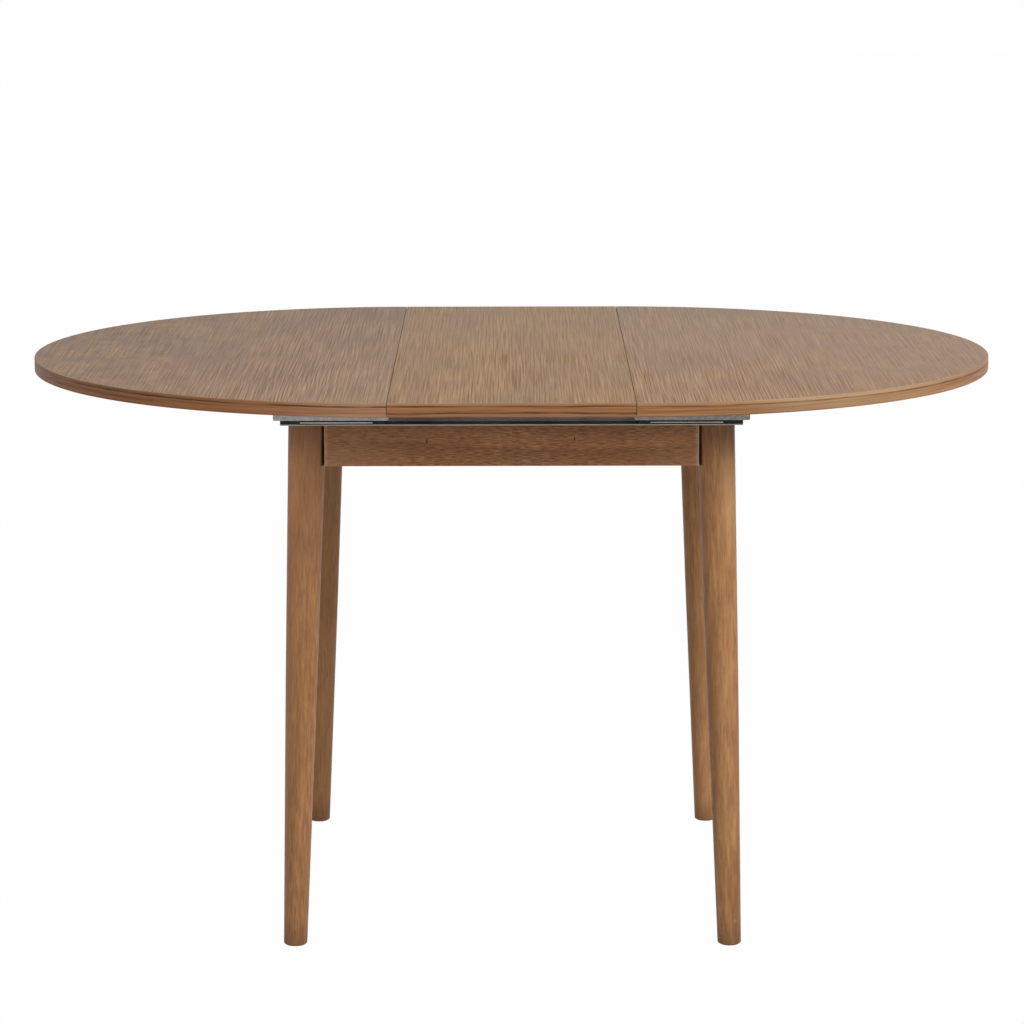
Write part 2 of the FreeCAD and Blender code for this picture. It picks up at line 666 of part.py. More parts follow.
def make_corner_blocks():
    """Blocks screwed into the frame's corners, each carrying its leg on two hanger bolts."""
    body = doc.addObject("PartDesign::Body", "block_body")
    outline = new_sketch(body, "block_outline", "XY_Plane", "Places.block_bottom")
    polygon(outline, [
        ("Places.seat_sum - Places.apron_inner_y", "Places.apron_inner_y"),
        ("Places.block_end_x", "Places.apron_inner_y"),
        ("Places.apron_inner_x", "Places.block_end_y"),
        ("Places.apron_inner_x", "Places.seat_sum - Places.apron_inner_x"),
    ])
    pad(body, outline, "Sizes.block_height")

    washer_start = "Sizes.washer_thickness / sqrt(2)"
    nut_start = "(Sizes.washer_thickness + Sizes.nut_height) / sqrt(2)"
    bolt_start = "(Sizes.washer_thickness + Sizes.nut_height + Sizes.leg_bolt_tail) / sqrt(2)"
    beyond = "Sizes.washer_thickness + Sizes.nut_height + Sizes.leg_bolt_tail"
    bolt_length = f"{beyond} + Sizes.block_depth + Sizes.leg_bolt_grip"
    bore_radius = "Sizes.leg_bolt_radius + Sizes.bolt_clearance"
    bores = []
    bolts = []
    washers = []
    nuts = []
    for count, height in enumerate(leg_bolt_heights()):
        bolt_end = before_block(bolt_start, height)
        bore = cylinder(f"block_bore_{count}", bore_radius, bolt_length, bolt_end, OUTWARD)
        bores.append(bore)
        bolts.append(cylinder(f"leg_bolt_{count}", "Sizes.leg_bolt_radius", bolt_length, bolt_end, OUTWARD))
        disc = cylinder(
            f"washer_disc_{count}",
            "Sizes.washer_radius",
            "Sizes.washer_thickness",
            before_block(washer_start, height),
            OUTWARD,
        )
        washers.append(cut(f"washer_{count}", disc, [bore]))
        hexagon = doc.addObject("Part::Prism", f"nut_hexagon_{count}")
        hexagon.Polygon = 6
        hexagon.setExpression("Circumradius", "Sizes.nut_radius")
        hexagon.setExpression("Height", "Sizes.nut_height")
        place(hexagon, before_block(nut_start, height), OUTWARD)
        nuts.append(cut(f"nut_{count}", hexagon, [bore]))
    for label, pieces in (("leg_bolts", bolts), ("leg_washers", washers), ("leg_nuts", nuts)):
        keep(at_four_corners(label, group(f"{label}_at_corner", pieces)), label)

    screws = []
    recesses = []
    seats = (
        ("rear", ALONG_Y, "Places.block_screw_x", "Places.apron_inner_y - Sizes.block_screw_land"),
        ("right", ALONG_X, "Places.apron_inner_x - Sizes.block_screw_land", "Places.block_screw_y"),
    )
    for name, direction, across, up in seats:
        start = (across, up, "Places.block_screw_z")
        screws.append(screw(f"{name}_block_screw", start, direction, "Sizes.block_screw_length"))
        recesses.append(
            cylinder(
                f"{name}_block_recess",
                "Sizes.screw_head_radius + Sizes.bolt_clearance",
                "Sizes.block_screw_inset + Sizes.screw_head_radius",
                start,
                -direction,
            )
        )
        recesses.append(
            cylinder(
                f"{name}_block_hole",
                "Places.screw_hole_radius",
                "Sizes.block_screw_land + Sizes.cut_overrun",
                start,
                direction,
            )
        )
    keep_four(cut("rear_right_corner_block", body, [*bores, *recesses]), "corner_block")
    keep(at_four_corners("corner_block_screws", group("block_screws_at_corner", screws)), "corner_block_screws")


def make_rails():
    """Channels along the frame, open to the outside, with stop slots and a skirt for screws."""
    rail = doc.addObject("PartDesign::Body", "rear_rail")
    section = new_sketch(rail, "rail_section", "YZ_Plane", "0")
    polygon(section, [
        ("Places.rail_inner_y", "Places.frame_top"),
        ("Places.rail_outer_y", "Places.frame_top"),
        ("Places.rail_outer_y", "Places.channel_bottom"),
        ("Places.apron_inner_y", "Places.channel_bottom"),
        ("Places.apron_inner_y", "Places.channel_top"),
        ("Places.rail_outer_y", "Places.channel_top"),
        ("Places.rail_outer_y", "Places.underside"),
        ("Places.rail_inner_y", "Places.underside"),
    ])
    pad(rail, section, "2 * Places.shelf_outer_x", both_ways=True)
    skirt = new_sketch(rail, "skirt_section", "YZ_Plane", "0")
    rectangle(
        skirt,
        "Places.rail_inner_y",
        "Places.apron_inner_y",
        "Places.frame_top - Sizes.rail_skirt",
        "Places.frame_top",
    )
    pad(rail, skirt, "2 * Places.skirt_half_length", both_ways=True)
    openings = new_sketch(rail, "rail_openings", "XZ_Plane", "-Places.rail_inner_y")
    slot_radius = "Sizes.stop_pin_radius + Sizes.running_gap"
    closed = "Places.stop_pin_x - Places.half_edge_x"
    opened = "Places.stop_pin_x + Sizes.open_travel"
    slot(openings, slot_radius, closed, opened, "Places.channel_middle")
    slot(openings, slot_radius, f"-({opened})", f"-({closed})", "Places.channel_middle")
    for across in rail_screw_places():
        circle(openings, "Places.screw_hole_radius", across, "Places.skirt_middle")
    pocket(rail, openings, "Sizes.rail_wall")
    keep(rail, "rear_rail")
    keep(mirrored(rail, "front_rail", ALONG_Y), "front_rail")

    screws = [
        screw(
            f"rail_screw_{count}",
            (across, "Places.rail_inner_y", "Places.skirt_middle"),
            ALONG_Y,
            "Sizes.rail_screw_length",
        )
        for count, across in enumerate(rail_screw_places())
    ]
    keep(front_and_rear("rail_screws", group("rear_rail_screws", screws)), "rail_screws")


def make_slider_body():
    """A bent sheet: a flange under the top, a face outside the rail, and a shelf and tongue in it."""
    slider = doc.addObject("PartDesign::Body", "right_rear_slider")
    angle = new_sketch(slider, "slider_angle", "YZ_Plane", "Places.slider_inner_x")
    polygon(angle, [
        ("Places.face_inner_y", "Places.face_bottom"),
        ("Places.face_outer_y", "Places.face_bottom"),
        ("Places.face_outer_y", "Places.flange_bottom"),
        ("Places.flange_tip_y", "Places.flange_bottom"),
        ("Places.flange_tip_y", "Places.underside"),
        ("Places.face_inner_y", "Places.underside"),
    ])
    pad(slider, angle, "Sizes.slider_length")
    shelf = new_sketch(slider, "slider_shelf", "YZ_Plane", "Places.shelf_inner_x")
    rectangle(shelf, "Places.shelf_inner_y", "Places.face_inner_y", "Places.face_bottom", "Places.shelf_top")
    pad(slider, shelf, "Places.shelf_length")
    lip = new_sketch(slider, "slider_lip", "YZ_Plane", "Places.shelf_inner_x + Sizes.inner_glide_length")
    polygon(lip, [
        ("Places.shelf_inner_y", "Places.tongue_bottom"),
        ("Places.tongue_outer_y", "Places.tongue_bottom"),
        ("Places.tongue_outer_y", "Places.tongue_top"),
        ("Places.lip_outer_y", "Places.tongue_top"),
        ("Places.lip_outer_y", "Places.face_bottom"),
        ("Places.shelf_inner_y", "Places.face_bottom"),
    ])
    pad(slider, lip, "Places.lip_length")
    flange_holes = new_sketch(slider, "flange_holes", "XY_Plane", "Places.flange_bottom")
    for across, up in slider_screw_places():
        circle(flange_holes, "Places.screw_hole_radius", across, up)
    pocket(slider, flange_holes, "Sizes.slider_wall", along_normal=True)
    ends = ("Places.slider_inner_x", "Places.slider_outer_x")
    fillet(
        slider,
        "slider_face_corners",
        "Sizes.slider_corner",
        edge_names(slider.Shape, *({"X": end, "Z": "Places.face_bottom"} for end in ends)),
    )
    fillet(
        slider,
        "slider_flange_corners",
        "Sizes.flange_corner",
        edge_names(slider.Shape, *({"X": end, "Y": "Places.flange_tip_y"} for end in ends)),
    )
    fillet(
        slider,
        "slider_inner_bend",
        "Sizes.slider_bend",
        edge_names(slider.Shape, {"Y": "Places.face_outer_y", "Z": "Places.flange_bottom"}),
    )
    fillet(
        slider,
        "slider_outer_bend",
        "Sizes.slider_bend + Sizes.slider_wall",
        edge_names(slider.Shape, {"Y": "Places.face_inner_y", "Z": "Places.underside"}),
    )
    return slider


def make_sliders():
    """The sliders of both halves, with their glides, stop pins and screws."""
    slider = make_slider_body()
    front_slider = mirrored(slider, "right_front_slider", ALONG_Y)
    keep(slider, "right_rear_slider")
    keep(front_slider, "right_front_slider")
    keep(mirrored(slider, "left_rear_slider", ALONG_X), "left_rear_slider")
    keep(mirrored(front_slider, "left_front_slider", ALONG_X), "left_front_slider")

    pin = cylinder(
        "rear_stop_pin",
        "Sizes.stop_pin_radius",
        "Sizes.stop_pin_tail + Sizes.rail_wall + Sizes.running_gap + Sizes.stop_pin_depth",
        ("Places.stop_pin_x", "Places.rail_inner_y - Sizes.stop_pin_tail", "Places.channel_middle"),
        ALONG_Y,
    )
    shelf_slot = box(
        "shelf_slot",
        (
            "Places.shelf_length + 2 * Sizes.cut_overrun",
            "Sizes.shelf_reach + Sizes.cut_overrun",
            "Sizes.slider_wall",
        ),
        ("Places.shelf_inner_x - Sizes.cut_overrun", "Places.shelf_inner_y", "Places.face_bottom"),
    )
    starts = (
        ("inner", "Places.shelf_inner_x", [shelf_slot, pin]),
        ("outer", "Places.shelf_outer_x - Sizes.outer_glide_length", [shelf_slot]),
    )
    glides = []
    for name, start, tools in starts:
        block = box(
            f"{name}_glide_block",
            (
                f"Sizes.{name}_glide_length",
                "Places.rail_outer_y - Places.glide_inner_y",
                "Places.glide_height",
            ),
            (start, "Places.glide_inner_y", "Places.glide_bottom"),
        )
        glides.append(cut(f"{name}_glide", block, tools))
    screws = [
        screw(f"slider_screw_{count}", (across, up, "Places.flange_bottom"), UP, "Sizes.slider_screw_length")
        for count, (across, up) in enumerate(slider_screw_places())
    ]
    sets = (
        ("glides", group("rear_glides", glides)),
        ("stop_pins", pin),
        ("slider_screws", group("rear_slider_screws", screws)),
    )
    for name, piece in sets:
        right = keep(front_and_rear(f"right_{name}", piece), f"right_{name}")
        keep(mirrored(right, f"left_{name}", ALONG_X), f"left_{name}")


make_half_top()
make_leaf()
make_aprons()
make_legs()
make_corner_blocks()
make_rails()
make_sliders()
doc.recompute()

for thing in doc.Objects:
    if {"Invalid", "Error"} & set(thing.State):
        raise RuntimeError(f"{thing.Label} failed to build")
for piece in nodes:
    if piece.Shape.isNull() or not piece.Shape.isValid():
        raise RuntimeError(f"{piece.Label} has no valid shape")

os.makedirs("parts", exist_ok=True)
for piece in nodes:
    piece.Shape.exportStep(f"parts/{piece.Label}.step")
    print(piece.Label, len(piece.Shape.Solids), round(piece.Shape.Volume))
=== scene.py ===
# %% [markdown]
# # An extending table, dressed
#
# The table arrives here as finished shapes: a round top in two halves, a loose leaf between
# them, two metal runners and a frame on four turned legs. Blender adds what shapes alone can't
# show: stained wood with open pores, edge bands with a line of dark grain, drawn and zinc
# plated metal, felt, and screws with a thread and a cross recess. The lesson goes from the
# camera to the light, then from one finish to the next, and ends with the small fixings.

import json
import math

import bpy
from mathutils import Matrix, Vector


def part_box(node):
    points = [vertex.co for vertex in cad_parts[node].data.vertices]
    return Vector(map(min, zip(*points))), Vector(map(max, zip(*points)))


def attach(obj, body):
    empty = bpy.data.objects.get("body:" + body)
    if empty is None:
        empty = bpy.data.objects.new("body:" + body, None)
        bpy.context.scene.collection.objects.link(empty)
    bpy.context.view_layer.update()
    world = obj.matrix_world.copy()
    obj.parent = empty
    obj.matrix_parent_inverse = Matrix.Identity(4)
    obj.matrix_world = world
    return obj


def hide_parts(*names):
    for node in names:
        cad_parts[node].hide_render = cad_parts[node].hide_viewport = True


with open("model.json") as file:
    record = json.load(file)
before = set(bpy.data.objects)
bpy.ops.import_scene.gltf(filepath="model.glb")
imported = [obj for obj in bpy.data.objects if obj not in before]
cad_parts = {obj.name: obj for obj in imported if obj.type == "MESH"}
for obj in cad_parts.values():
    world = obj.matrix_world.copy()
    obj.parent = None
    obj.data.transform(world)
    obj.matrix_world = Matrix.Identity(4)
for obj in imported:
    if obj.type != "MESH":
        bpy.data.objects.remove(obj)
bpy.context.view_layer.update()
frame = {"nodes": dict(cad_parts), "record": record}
nodes = frame["nodes"]

# %% [markdown]
# ## The camera
#
# The picture was taken from some way off with a long lens, so the table's upright lines stay
# upright and the round top shows as a flat ellipse. A long lens a long way off can't be told
# from a short lens close by in one line alone, but the size of the far legs against the near
# ones gives it away. The values below come from fitting the rim, the seams and the feet.

# %% Place the camera
CAMERA_PLACE = Vector((0.0004, -5.390, 1.4807))
CAMERA_PITCH = math.radians(10.03)
CAMERA_ROLL = math.radians(-0.1)
CAMERA_LENS = 137.66
SENSOR_WIDTH = 36
FARTHEST_SEEN = 60

scene = bpy.context.scene
scene.view_settings.view_transform = "Standard"
camera_data = bpy.data.cameras.new("long_lens")
camera_data.lens = CAMERA_LENS
camera_data.sensor_width = SENSOR_WIDTH
camera_data.clip_end = FARTHEST_SEEN
camera = bpy.data.objects.new("long_lens", camera_data)
tilt = Matrix.Rotation(math.pi / 2 - CAMERA_PITCH, 4, "X")
roll = Matrix.Rotation(CAMERA_ROLL, 4, "Z")
camera.matrix_world = Matrix.Translation(CAMERA_PLACE) @ tilt @ roll
scene.collection.objects.link(camera)
scene.camera = camera
print("camera:", camera_data.lens, "mm lens")

# %% [markdown]
# ## Writing shader sums as Python
#
# A material is a sum: so much of this colour where the grain is dark, a little rougher in the
# pores. In the node editor such a sum is a wall of small boxes. Here one class holds a socket
# and lends it Python's operators, so that `1 - mask * 0.5` adds the two Math nodes by itself.
# Every node is made by one method, `add`.

# %% A socket with operators
def find_socket(sockets, key):
    """A socket by its number, its identifier or its name."""
    if isinstance(key, int):
        return sockets[key]
    named = [socket for socket in sockets if key in (socket.identifier, socket.name)]
    return named[0]


class Wire:
    """One socket in a node tree. Operators on it add Math nodes."""

    def __init__(self, tree, socket=None):
        self.tree = tree
        self.socket = socket

    def add(self, kind, settings=(), inputs=(), output=0):
        """Any node: its type, its settings, then the values or links of its sockets."""
        node = self.tree.nodes.new(kind)
        for name, value in dict(settings).items():
            setattr(node, name, value)
        for key, value in dict(inputs).items():
            socket = find_socket(node.inputs, key)
            for one in value if isinstance(value, list) else [value]:
                if isinstance(one, Wire):
                    self.tree.links.new(one.socket, socket)
                else:
                    socket.default_value = one
        return Wire(self.tree, find_socket(node.outputs, output) if node.outputs else None)

    def math(self, operation, *others):
        values = dict(enumerate((self, *others)))
        return self.add("ShaderNodeMath", {"operation": operation}, values)

    def __add__(self, other):
        return self.math("ADD", other)

    def __mul__(self, other):
        return self.math("MULTIPLY", other)

    def __sub__(self, other):
        return self.math("SUBTRACT", other)

    def __rsub__(self, other):
        return self.add("ShaderNodeMath", {"operation": "SUBTRACT"}, {0: other, 1: self})

    def __truediv__(self, other):
        return self.math("DIVIDE", other)

    def __abs__(self):
        return self.math("ABSOLUTE")

    def step(self, low, high):
        """A soft step from 0 at low to 1 at high, or the other way where low is the larger."""
        values = {"Value": self, "From Min": low, "From Max": high}
        return self.add("ShaderNodeMapRange", {"interpolation_type": "SMOOTHSTEP"}, values)

    __radd__ = __add__
    __rmul__ = __mul__


print("operators on a socket:", [name for name in vars(Wire) if name.startswith("__r")])

# %% [markdown]
# ## Helpers for every finish
#
# Colours are written as a picture program shows them, from 0 to 255, and turned into the
# linear values that a renderer adds up. All patterns read the object's own coordinates in
# metres, so a millimetre of grain is a millimetre on every piece.

# %% Colours, noise and new materials
def tint(red, green, blue):
    """A linear colour from the 0 to 255 values of a picture program."""
    shares = [value / 255 for value in (red, green, blue)]
    return (*[s / 12.92 if s <= 0.04045 else ((s + 0.055) / 1.055) ** 2.4 for s in shares], 1)


def vector(start, x, y, z):
    return start.add("ShaderNodeCombineXYZ", (), {0: x, 1: y, 2: z})


def noise(start, place, detail=2.0, scale=1.0):
    """Smooth noise from 0 to 1 at a place given by three wires or numbers, times scale."""
    values = {"Vector": vector(start, *place), "Scale": scale, "Detail": detail}
    return start.add("ShaderNodeTexNoise", (), values)


def blend(start, one, other, share):
    """One colour passing into the other by share."""
    values = {"Factor_Float": share, "A_Color": one, "B_Color": other}
    return start.add("ShaderNodeMix", {"data_type": "RGBA"}, values, "Result_Color")


def split(start, source, output=0):
    """The three coordinates of a vector, as wires."""
    whole = start.add(source, (), (), output)
    return [start.add("ShaderNodeSeparateXYZ", (), {0: whole}, axis) for axis in "XYZ"]


def new_material(name):
    """A material without nodes, and a wire to start its tree from."""
    material = bpy.data.materials.new(name)
    material.use_nodes = True
    material.node_tree.nodes.clear()
    return material, Wire(material.node_tree)


def surface(start, sockets, height, relief):
    """End a material: the surface's sockets, and the relief of its height in metres."""
    raised = {"Height": height, "Distance": relief, "Strength": 1.0}
    normal = start.add("ShaderNodeBump", (), raised)
    shader = start.add("ShaderNodeBsdfPrincipled", (), dict(sockets, Normal=normal))
    start.add("ShaderNodeOutputMaterial", (), {"Surface": shader})


print("a mid grey of 128 is", round(tint(128, 128, 128)[0], 3), "in linear light")

# %% [markdown]
# ## Floor, backdrop and light
#
# The table stands in a white studio. A strong lamp could burn a grey floor to white, but it
# would burn the wood as well. So the floor and the world answer the camera's own rays, and
# those of mirrors, with plain white, and light the table at an ordinary level. The floor still
# keeps a trace of shadow, and from below it is clear, so that one can look up at the runners.
# A broad lamp stands at the upper right, as in the picture, and a weaker one by the camera
# opens the shade under the top.

# %% Light the studio
WHITE = (1, 1, 1, 1)
WORLD_STRENGTH = 0.38
FLOOR_GREY = (0.62, 0.62, 0.62, 1)
FLOOR_WHITE_SHARE = 0.985
FLOOR_REACH = 20.0
LAMP_TARGET = Vector((0, 0, 0.5))


def seen_directly(start):
    """1 for the rays of the camera, of mirrors and of glass."""
    path = "ShaderNodeLightPath"
    seen = start.add(path, (), (), "Is Camera Ray")
    for other in ("Is Glossy Ray", "Is Transmission Ray"):
        seen = seen.math("MAXIMUM", start.add(path, (), (), other))
    return seen


def make_world():
    world = bpy.data.worlds.new("white_studio")
    world.use_nodes = True
    world.node_tree.nodes.clear()
    start = Wire(world.node_tree)
    strength = seen_directly(start) * (1 - WORLD_STRENGTH) + WORLD_STRENGTH
    light = start.add("ShaderNodeBackground", (), {"Color": WHITE, "Strength": strength})
    start.add("ShaderNodeOutputWorld", (), {"Surface": light})
    scene.world = world


def make_floor():
    material, start = new_material("white_floor")
    matt = start.add("ShaderNodeBsdfDiffuse", (), {"Color": FLOOR_GREY})
    glow = start.add("ShaderNodeEmission", (), {"Color": WHITE, "Strength": 1.0})
    share = seen_directly(start) * FLOOR_WHITE_SHARE
    mixed = start.add("ShaderNodeMixShader", (), {0: share, 1: matt, 2: glow})
    below = start.add("ShaderNodeNewGeometry", (), (), "Backfacing")
    clear = start.add("ShaderNodeBsdfTransparent")
    shown = start.add("ShaderNodeMixShader", (), {0: below, 1: mixed, 2: clear})
    start.add("ShaderNodeOutputMaterial", (), {"Surface": shown})
    ways = ((-1, -1), (1, -1), (1, 1), (-1, 1))
    corners = [(x * FLOOR_REACH, y * FLOOR_REACH, 0) for x, y in ways]
    mesh = bpy.data.meshes.new("floor")
    mesh.from_pydata(corners, [], [(0, 1, 2, 3)])
    mesh.materials.append(material)
    floor = bpy.data.objects.new("floor", mesh)
    scene.collection.objects.link(floor)


def make_lamp(name, place, size, power):
    """A soft square lamp that faces the middle of the table."""
    lamp = bpy.data.lights.new(name, "AREA")
    lamp.shape = "SQUARE"
    lamp.size = size
    lamp.energy = power
    holder = bpy.data.objects.new(name, lamp)
    toward = LAMP_TARGET - Vector(place)
    aim = toward.to_track_quat("-Z", "Y").to_matrix().to_4x4()
    holder.matrix_world = Matrix.Translation(place) @ aim
    scene.collection.objects.link(holder)


make_world()
make_floor()
make_lamp("key_lamp", place=(2.8, -2.6, 3.2), size=2.2, power=200)
make_lamp("front_lamp", place=(0.8, -6.4, 2.4), size=2.6, power=105)
print("lamps:", [lamp.name for lamp in bpy.data.lights])

# %% [markdown]
# ## Stained wood
#
# Wood is a solid pattern, so it can be made as one: rings about a pith, cut open by whatever
# face the piece shows. Near the pith a face shows arches, far from it straight lines. On top of
# the rings lie the pores, short dark dashes along the grain that the stain has filled, then
# fine fibre and a slow drift of tone. A picture of wood would stretch on a turned leg; this
# pattern doesn't, because it is read at each point of the solid.

# %% The wood pattern
LATE_RISE = (0.2, 0.85)
LATE_STOP = (1.0, 0.9)
SWAY_RATES = (1.7, 8)
LIVELY_RATES = (1.3, 6)
BASE_DARKNESS = 0.4
PORE_ROUGHNESS = 0.2
FIBRE_ROUGHNESS = 0.12


def timber(start, along, across, depth, look):
    """Colour, roughness and height of stained wood, from metres along, across and into it."""
    def grain(rates, detail=2.0):
        """Noise drawn out along the wood, with so many waves a metre along and across it."""
        lengthways, crossways = rates
        return noise(start, (along * lengthways, across * crossways, depth * crossways), detail)

    shifted = across + look["pith_across"] + (grain(SWAY_RATES) - 0.5) * look["sway"]
    sunk = depth + look["pith_depth"]
    ring = (shifted * shifted + sunk * sunk).math("SQRT")
    year = (ring / look["ring_gap"]).math("FRACT")
    late = year.step(*LATE_RISE) * year.step(*LATE_STOP)
    fibre = grain(look["fibre_rates"]).step(0.3, 0.7)
    pores = grain(look["pore_rates"]).step(0.52, 0.72) * (1 - late * 0.5)
    streak = grain(look["streak_rates"], 3.0)
    drift = grain(look["drift_rates"], 3.0).step(0.36, 0.66)
    lively = grain(LIVELY_RATES).step(0.35, 0.65) * 0.5 + 0.6
    dark_share = (late * look["ring_share"] + (fibre - 0.5) * look["fibre_share"]) * lively
    dark_share = dark_share + (streak - 0.5) * look["streak_share"] + BASE_DARKNESS
    colour = blend(start, look["light"], look["dark"], dark_share)
    colour = blend(start, colour, look["drift"], drift * look["drift_share"])
    colour = blend(start, colour, look["pore"], pores * look["pore_share"])
    roughness = look["roughness"] + pores * PORE_ROUGHNESS + (fibre - 0.5) * FIBRE_ROUGHNESS
    height = 0.6 - pores * 0.5 + (fibre - 0.5) * 0.3 - late * 0.06
    return colour, roughness, height


def finish_wood(start, colour, roughness, height, look):
    """End a wood material with the gloss and the relief of its look."""
    sockets = {"Base Color": colour, "Roughness": roughness, "Specular IOR Level": look["gloss"]}
    surface(start, sockets, height, look["relief"])


print("the wood pattern reads metres along, across and into the grain")

# %% [markdown]
# ## The veneered top
#
# The two halves and the leaf are boards faced with straight-grained veneer that runs from front
# to rear. The sheets are cut far from the pith, so the rings show as lines a few millimetres
# apart. Each board came from its own run of sheets, so each gets its own place in the wood and
# the lines don't meet at the seams. They are crisp at the front, in the middle, and softer
# towards the rear and the ends, where a grey painted sheen lies over them. At the two ends they
# give way to soft clouds of a darker tone, and broad patches lean to olive. The straight edges
# beside the leaf carry a plainer band, and the underside is plainer too. The material finds both
# by the way the face looks.

# %% Top veneer
VENEER = {
    "pore": tint(56, 38, 20), "drift_rates": (5, 11), "drift_share": 0.52,
    "fibre_rates": (5, 540), "pore_rates": (8, 900), "pore_share": 0.12,
    "streak_rates": (2.5, 60), "streak_share": 0.32, "ring_gap": 0.005, "ring_share": 0.38,
    "sway": 0.03, "pith_depth": 0.05, "fibre_share": 0.64, "roughness": 0.46, "gloss": 0.1,
    "relief": 0.00025,
}
OLIVE = tint(124, 101, 68)
SEAM_BAND = tint(116, 78, 48)
UNDERSIDE = tint(142, 106, 74)


def make_veneer(name, light, dark, drift, sheen_tone, pith_across, shift):
    """A board's veneer, from its own four tones and its own place in the wood."""
    material, start = new_material(name)
    x, y, z = split(start, "ShaderNodeTexCoord", "Object")
    soft_lines_and_sheen = (y * 0.9 + abs(x) * 0.55).step(-0.25, 0.4)
    look = dict(VENEER, pith_across=pith_across, light=light, dark=dark, drift=drift)
    outer = abs(x).step(0.3, 0.56)
    look["fibre_share"] = VENEER["fibre_share"] - soft_lines_and_sheen * 0.28 - outer * 0.13
    look["ring_share"] = VENEER["ring_share"] - outer * 0.24
    colour, roughness, height = timber(start, y + shift, x, z * 0, look)
    olive = noise(start, (x * 9 + shift, y * 6, 0), 2.0).step(0.45, 0.7)
    colour = blend(start, colour, OLIVE, olive * 0.42)
    # Soft darker clouds towards both ends.
    cloud = noise(start, (x * 45 + shift, y * 18, 0), 3.0).step(0.4, 0.64)
    colour = blend(start, colour, drift, cloud * outer * 0.62)
    # A grey painted sheen towards the rear and the ends, where the lines are also softer.
    colour = blend(start, colour, sheen_tone, soft_lines_and_sheen * 0.25)
    normal = split(start, "ShaderNodeNewGeometry", "Normal")
    upright = abs(normal[2]).step(0.7, 0.3)
    colour = blend(start, colour, SEAM_BAND, upright * 0.6)
    underneath = normal[2].step(-0.3, -0.7)
    colour = blend(start, colour, UNDERSIDE, underneath * 0.5)
    finish_wood(start, colour, roughness, height, look)
    return material


left_tones = tint(178, 138, 97), tint(100, 71, 45), tint(112, 84, 65), tint(118, 96, 80)
leaf_tones = tint(178, 134, 80), tint(99, 68, 34), tint(124, 91, 61), tint(150, 124, 96)
right_tones = tint(175, 132, 87), tint(98, 69, 41), tint(128, 95, 74), tint(138, 126, 112)
veneers = {
    "left_board": make_veneer("left_veneer", *left_tones, pith_across=0.95, shift=3.1),
    "leaf_board": make_veneer("leaf_veneer", *leaf_tones, pith_across=0.41, shift=7.4),
    "right_board": make_veneer("right_veneer", *right_tones, pith_across=0.22, shift=11.8),
}
print("veneers:", sorted(veneers))

# %% [markdown]
# ## The edge bands
#
# A thin strip of wood is bent round each half and glued on, so its grain runs along the edge.
# The pattern therefore needs the distance round the rim, not a plain coordinate: the angle
# about the middle of the half disc times its radius. One dark line of grain runs the whole way,
# near the upper edge, and the leaf's strips show a second one below it. Away from the leaf the
# left strip turns redder and the right one turns pale, with a fainter line.

# %% Edge bands
BAND = {
    "light": tint(157, 112, 75), "dark": tint(88, 53, 25), "pore": tint(50, 28, 14),
    "drift": tint(124, 86, 54), "drift_rates": (3, 60), "drift_share": 0.45,
    "fibre_rates": (9, 640), "fibre_share": 0.45, "pore_rates": (14, 700), "pore_share": 0.25,
    "streak_rates": (2.2, 260), "streak_share": 0.8, "ring_gap": 0.007, "ring_share": 0.2,
    "sway": 0.02, "pith_across": 0.09, "pith_depth": 0.02, "roughness": 0.46, "gloss": 0.12,
    "relief": 0.0002, "upper": tint(148, 112, 80),
}
LEFT_FAR = {
    "light": tint(170, 117, 80), "dark": tint(98, 60, 33), "drift": tint(136, 92, 59),
    "upper": tint(138, 102, 70),
}
RIGHT_FAR = {
    "light": tint(162, 128, 96), "dark": tint(100, 71, 42), "drift": tint(134, 104, 75),
    "upper": tint(160, 130, 101),
}
LEFT_REACH = (0.2, 0.34, 0.8, 0.9)
RIGHT_REACH = (0.27, 0.37, 0.5, 0.62)
HALVES_APART = 5
LINE_WAVE = 0.005
LINE_EDGE = 0.0019
LINE_CORE = 0.0003
LINE_BLUR = 0.0012
rim_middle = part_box("right_board")[0].x
rim_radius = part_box("right_edge_band")[1].y
top_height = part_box("right_board")[1].z


def make_band(name, look, lines, follow_rim=False, far_look=None, reach=None, line_fade=0.0):
    """A band with dark lines, given as depth below the top in metres and strength.

    The far look begins, is full, fades and is gone at the four distances of reach along X.
    """
    material, start = new_material(name)
    x, y, z = split(start, "ShaderNodeTexCoord", "Object")
    along = x
    if follow_rim:
        along = y.math("ARCTAN2", abs(x) - rim_middle) * rim_radius + x.math("SIGN") * HALVES_APART
    rise = z - top_height
    clear = 1.0
    if far_look:
        begins, full, fades, gone = reach
        far = abs(x).step(begins, full) * abs(x).step(gone, fades)
        look = dict(look, **{key: blend(start, look[key], far_look[key], far) for key in far_look})
        clear = 1 - far * line_fade
    colour, roughness, height = timber(start, along, rise, rise * 0, look)
    for count, (drop, share) in enumerate(lines):
        wave = noise(start, (along * 9, 13.7 * (count + 1), 0), 3.0) - 0.5
        off = abs(rise + drop + wave * LINE_WAVE)
        strength = noise(start, (along * 14, 3.1, count), 2.0).step(0.3, 0.7) * 0.85 + 0.3
        line = off.step(LINE_EDGE, LINE_CORE) * strength * clear
        colour = blend(start, colour, BAND["pore"], line * share)
    top_line = lines[0][0]
    above = rise.step(-top_line, LINE_BLUR - top_line)
    colour = blend(start, colour, look["upper"], above * 0.55)
    finish_wood(start, colour, roughness, height, look)
    return material


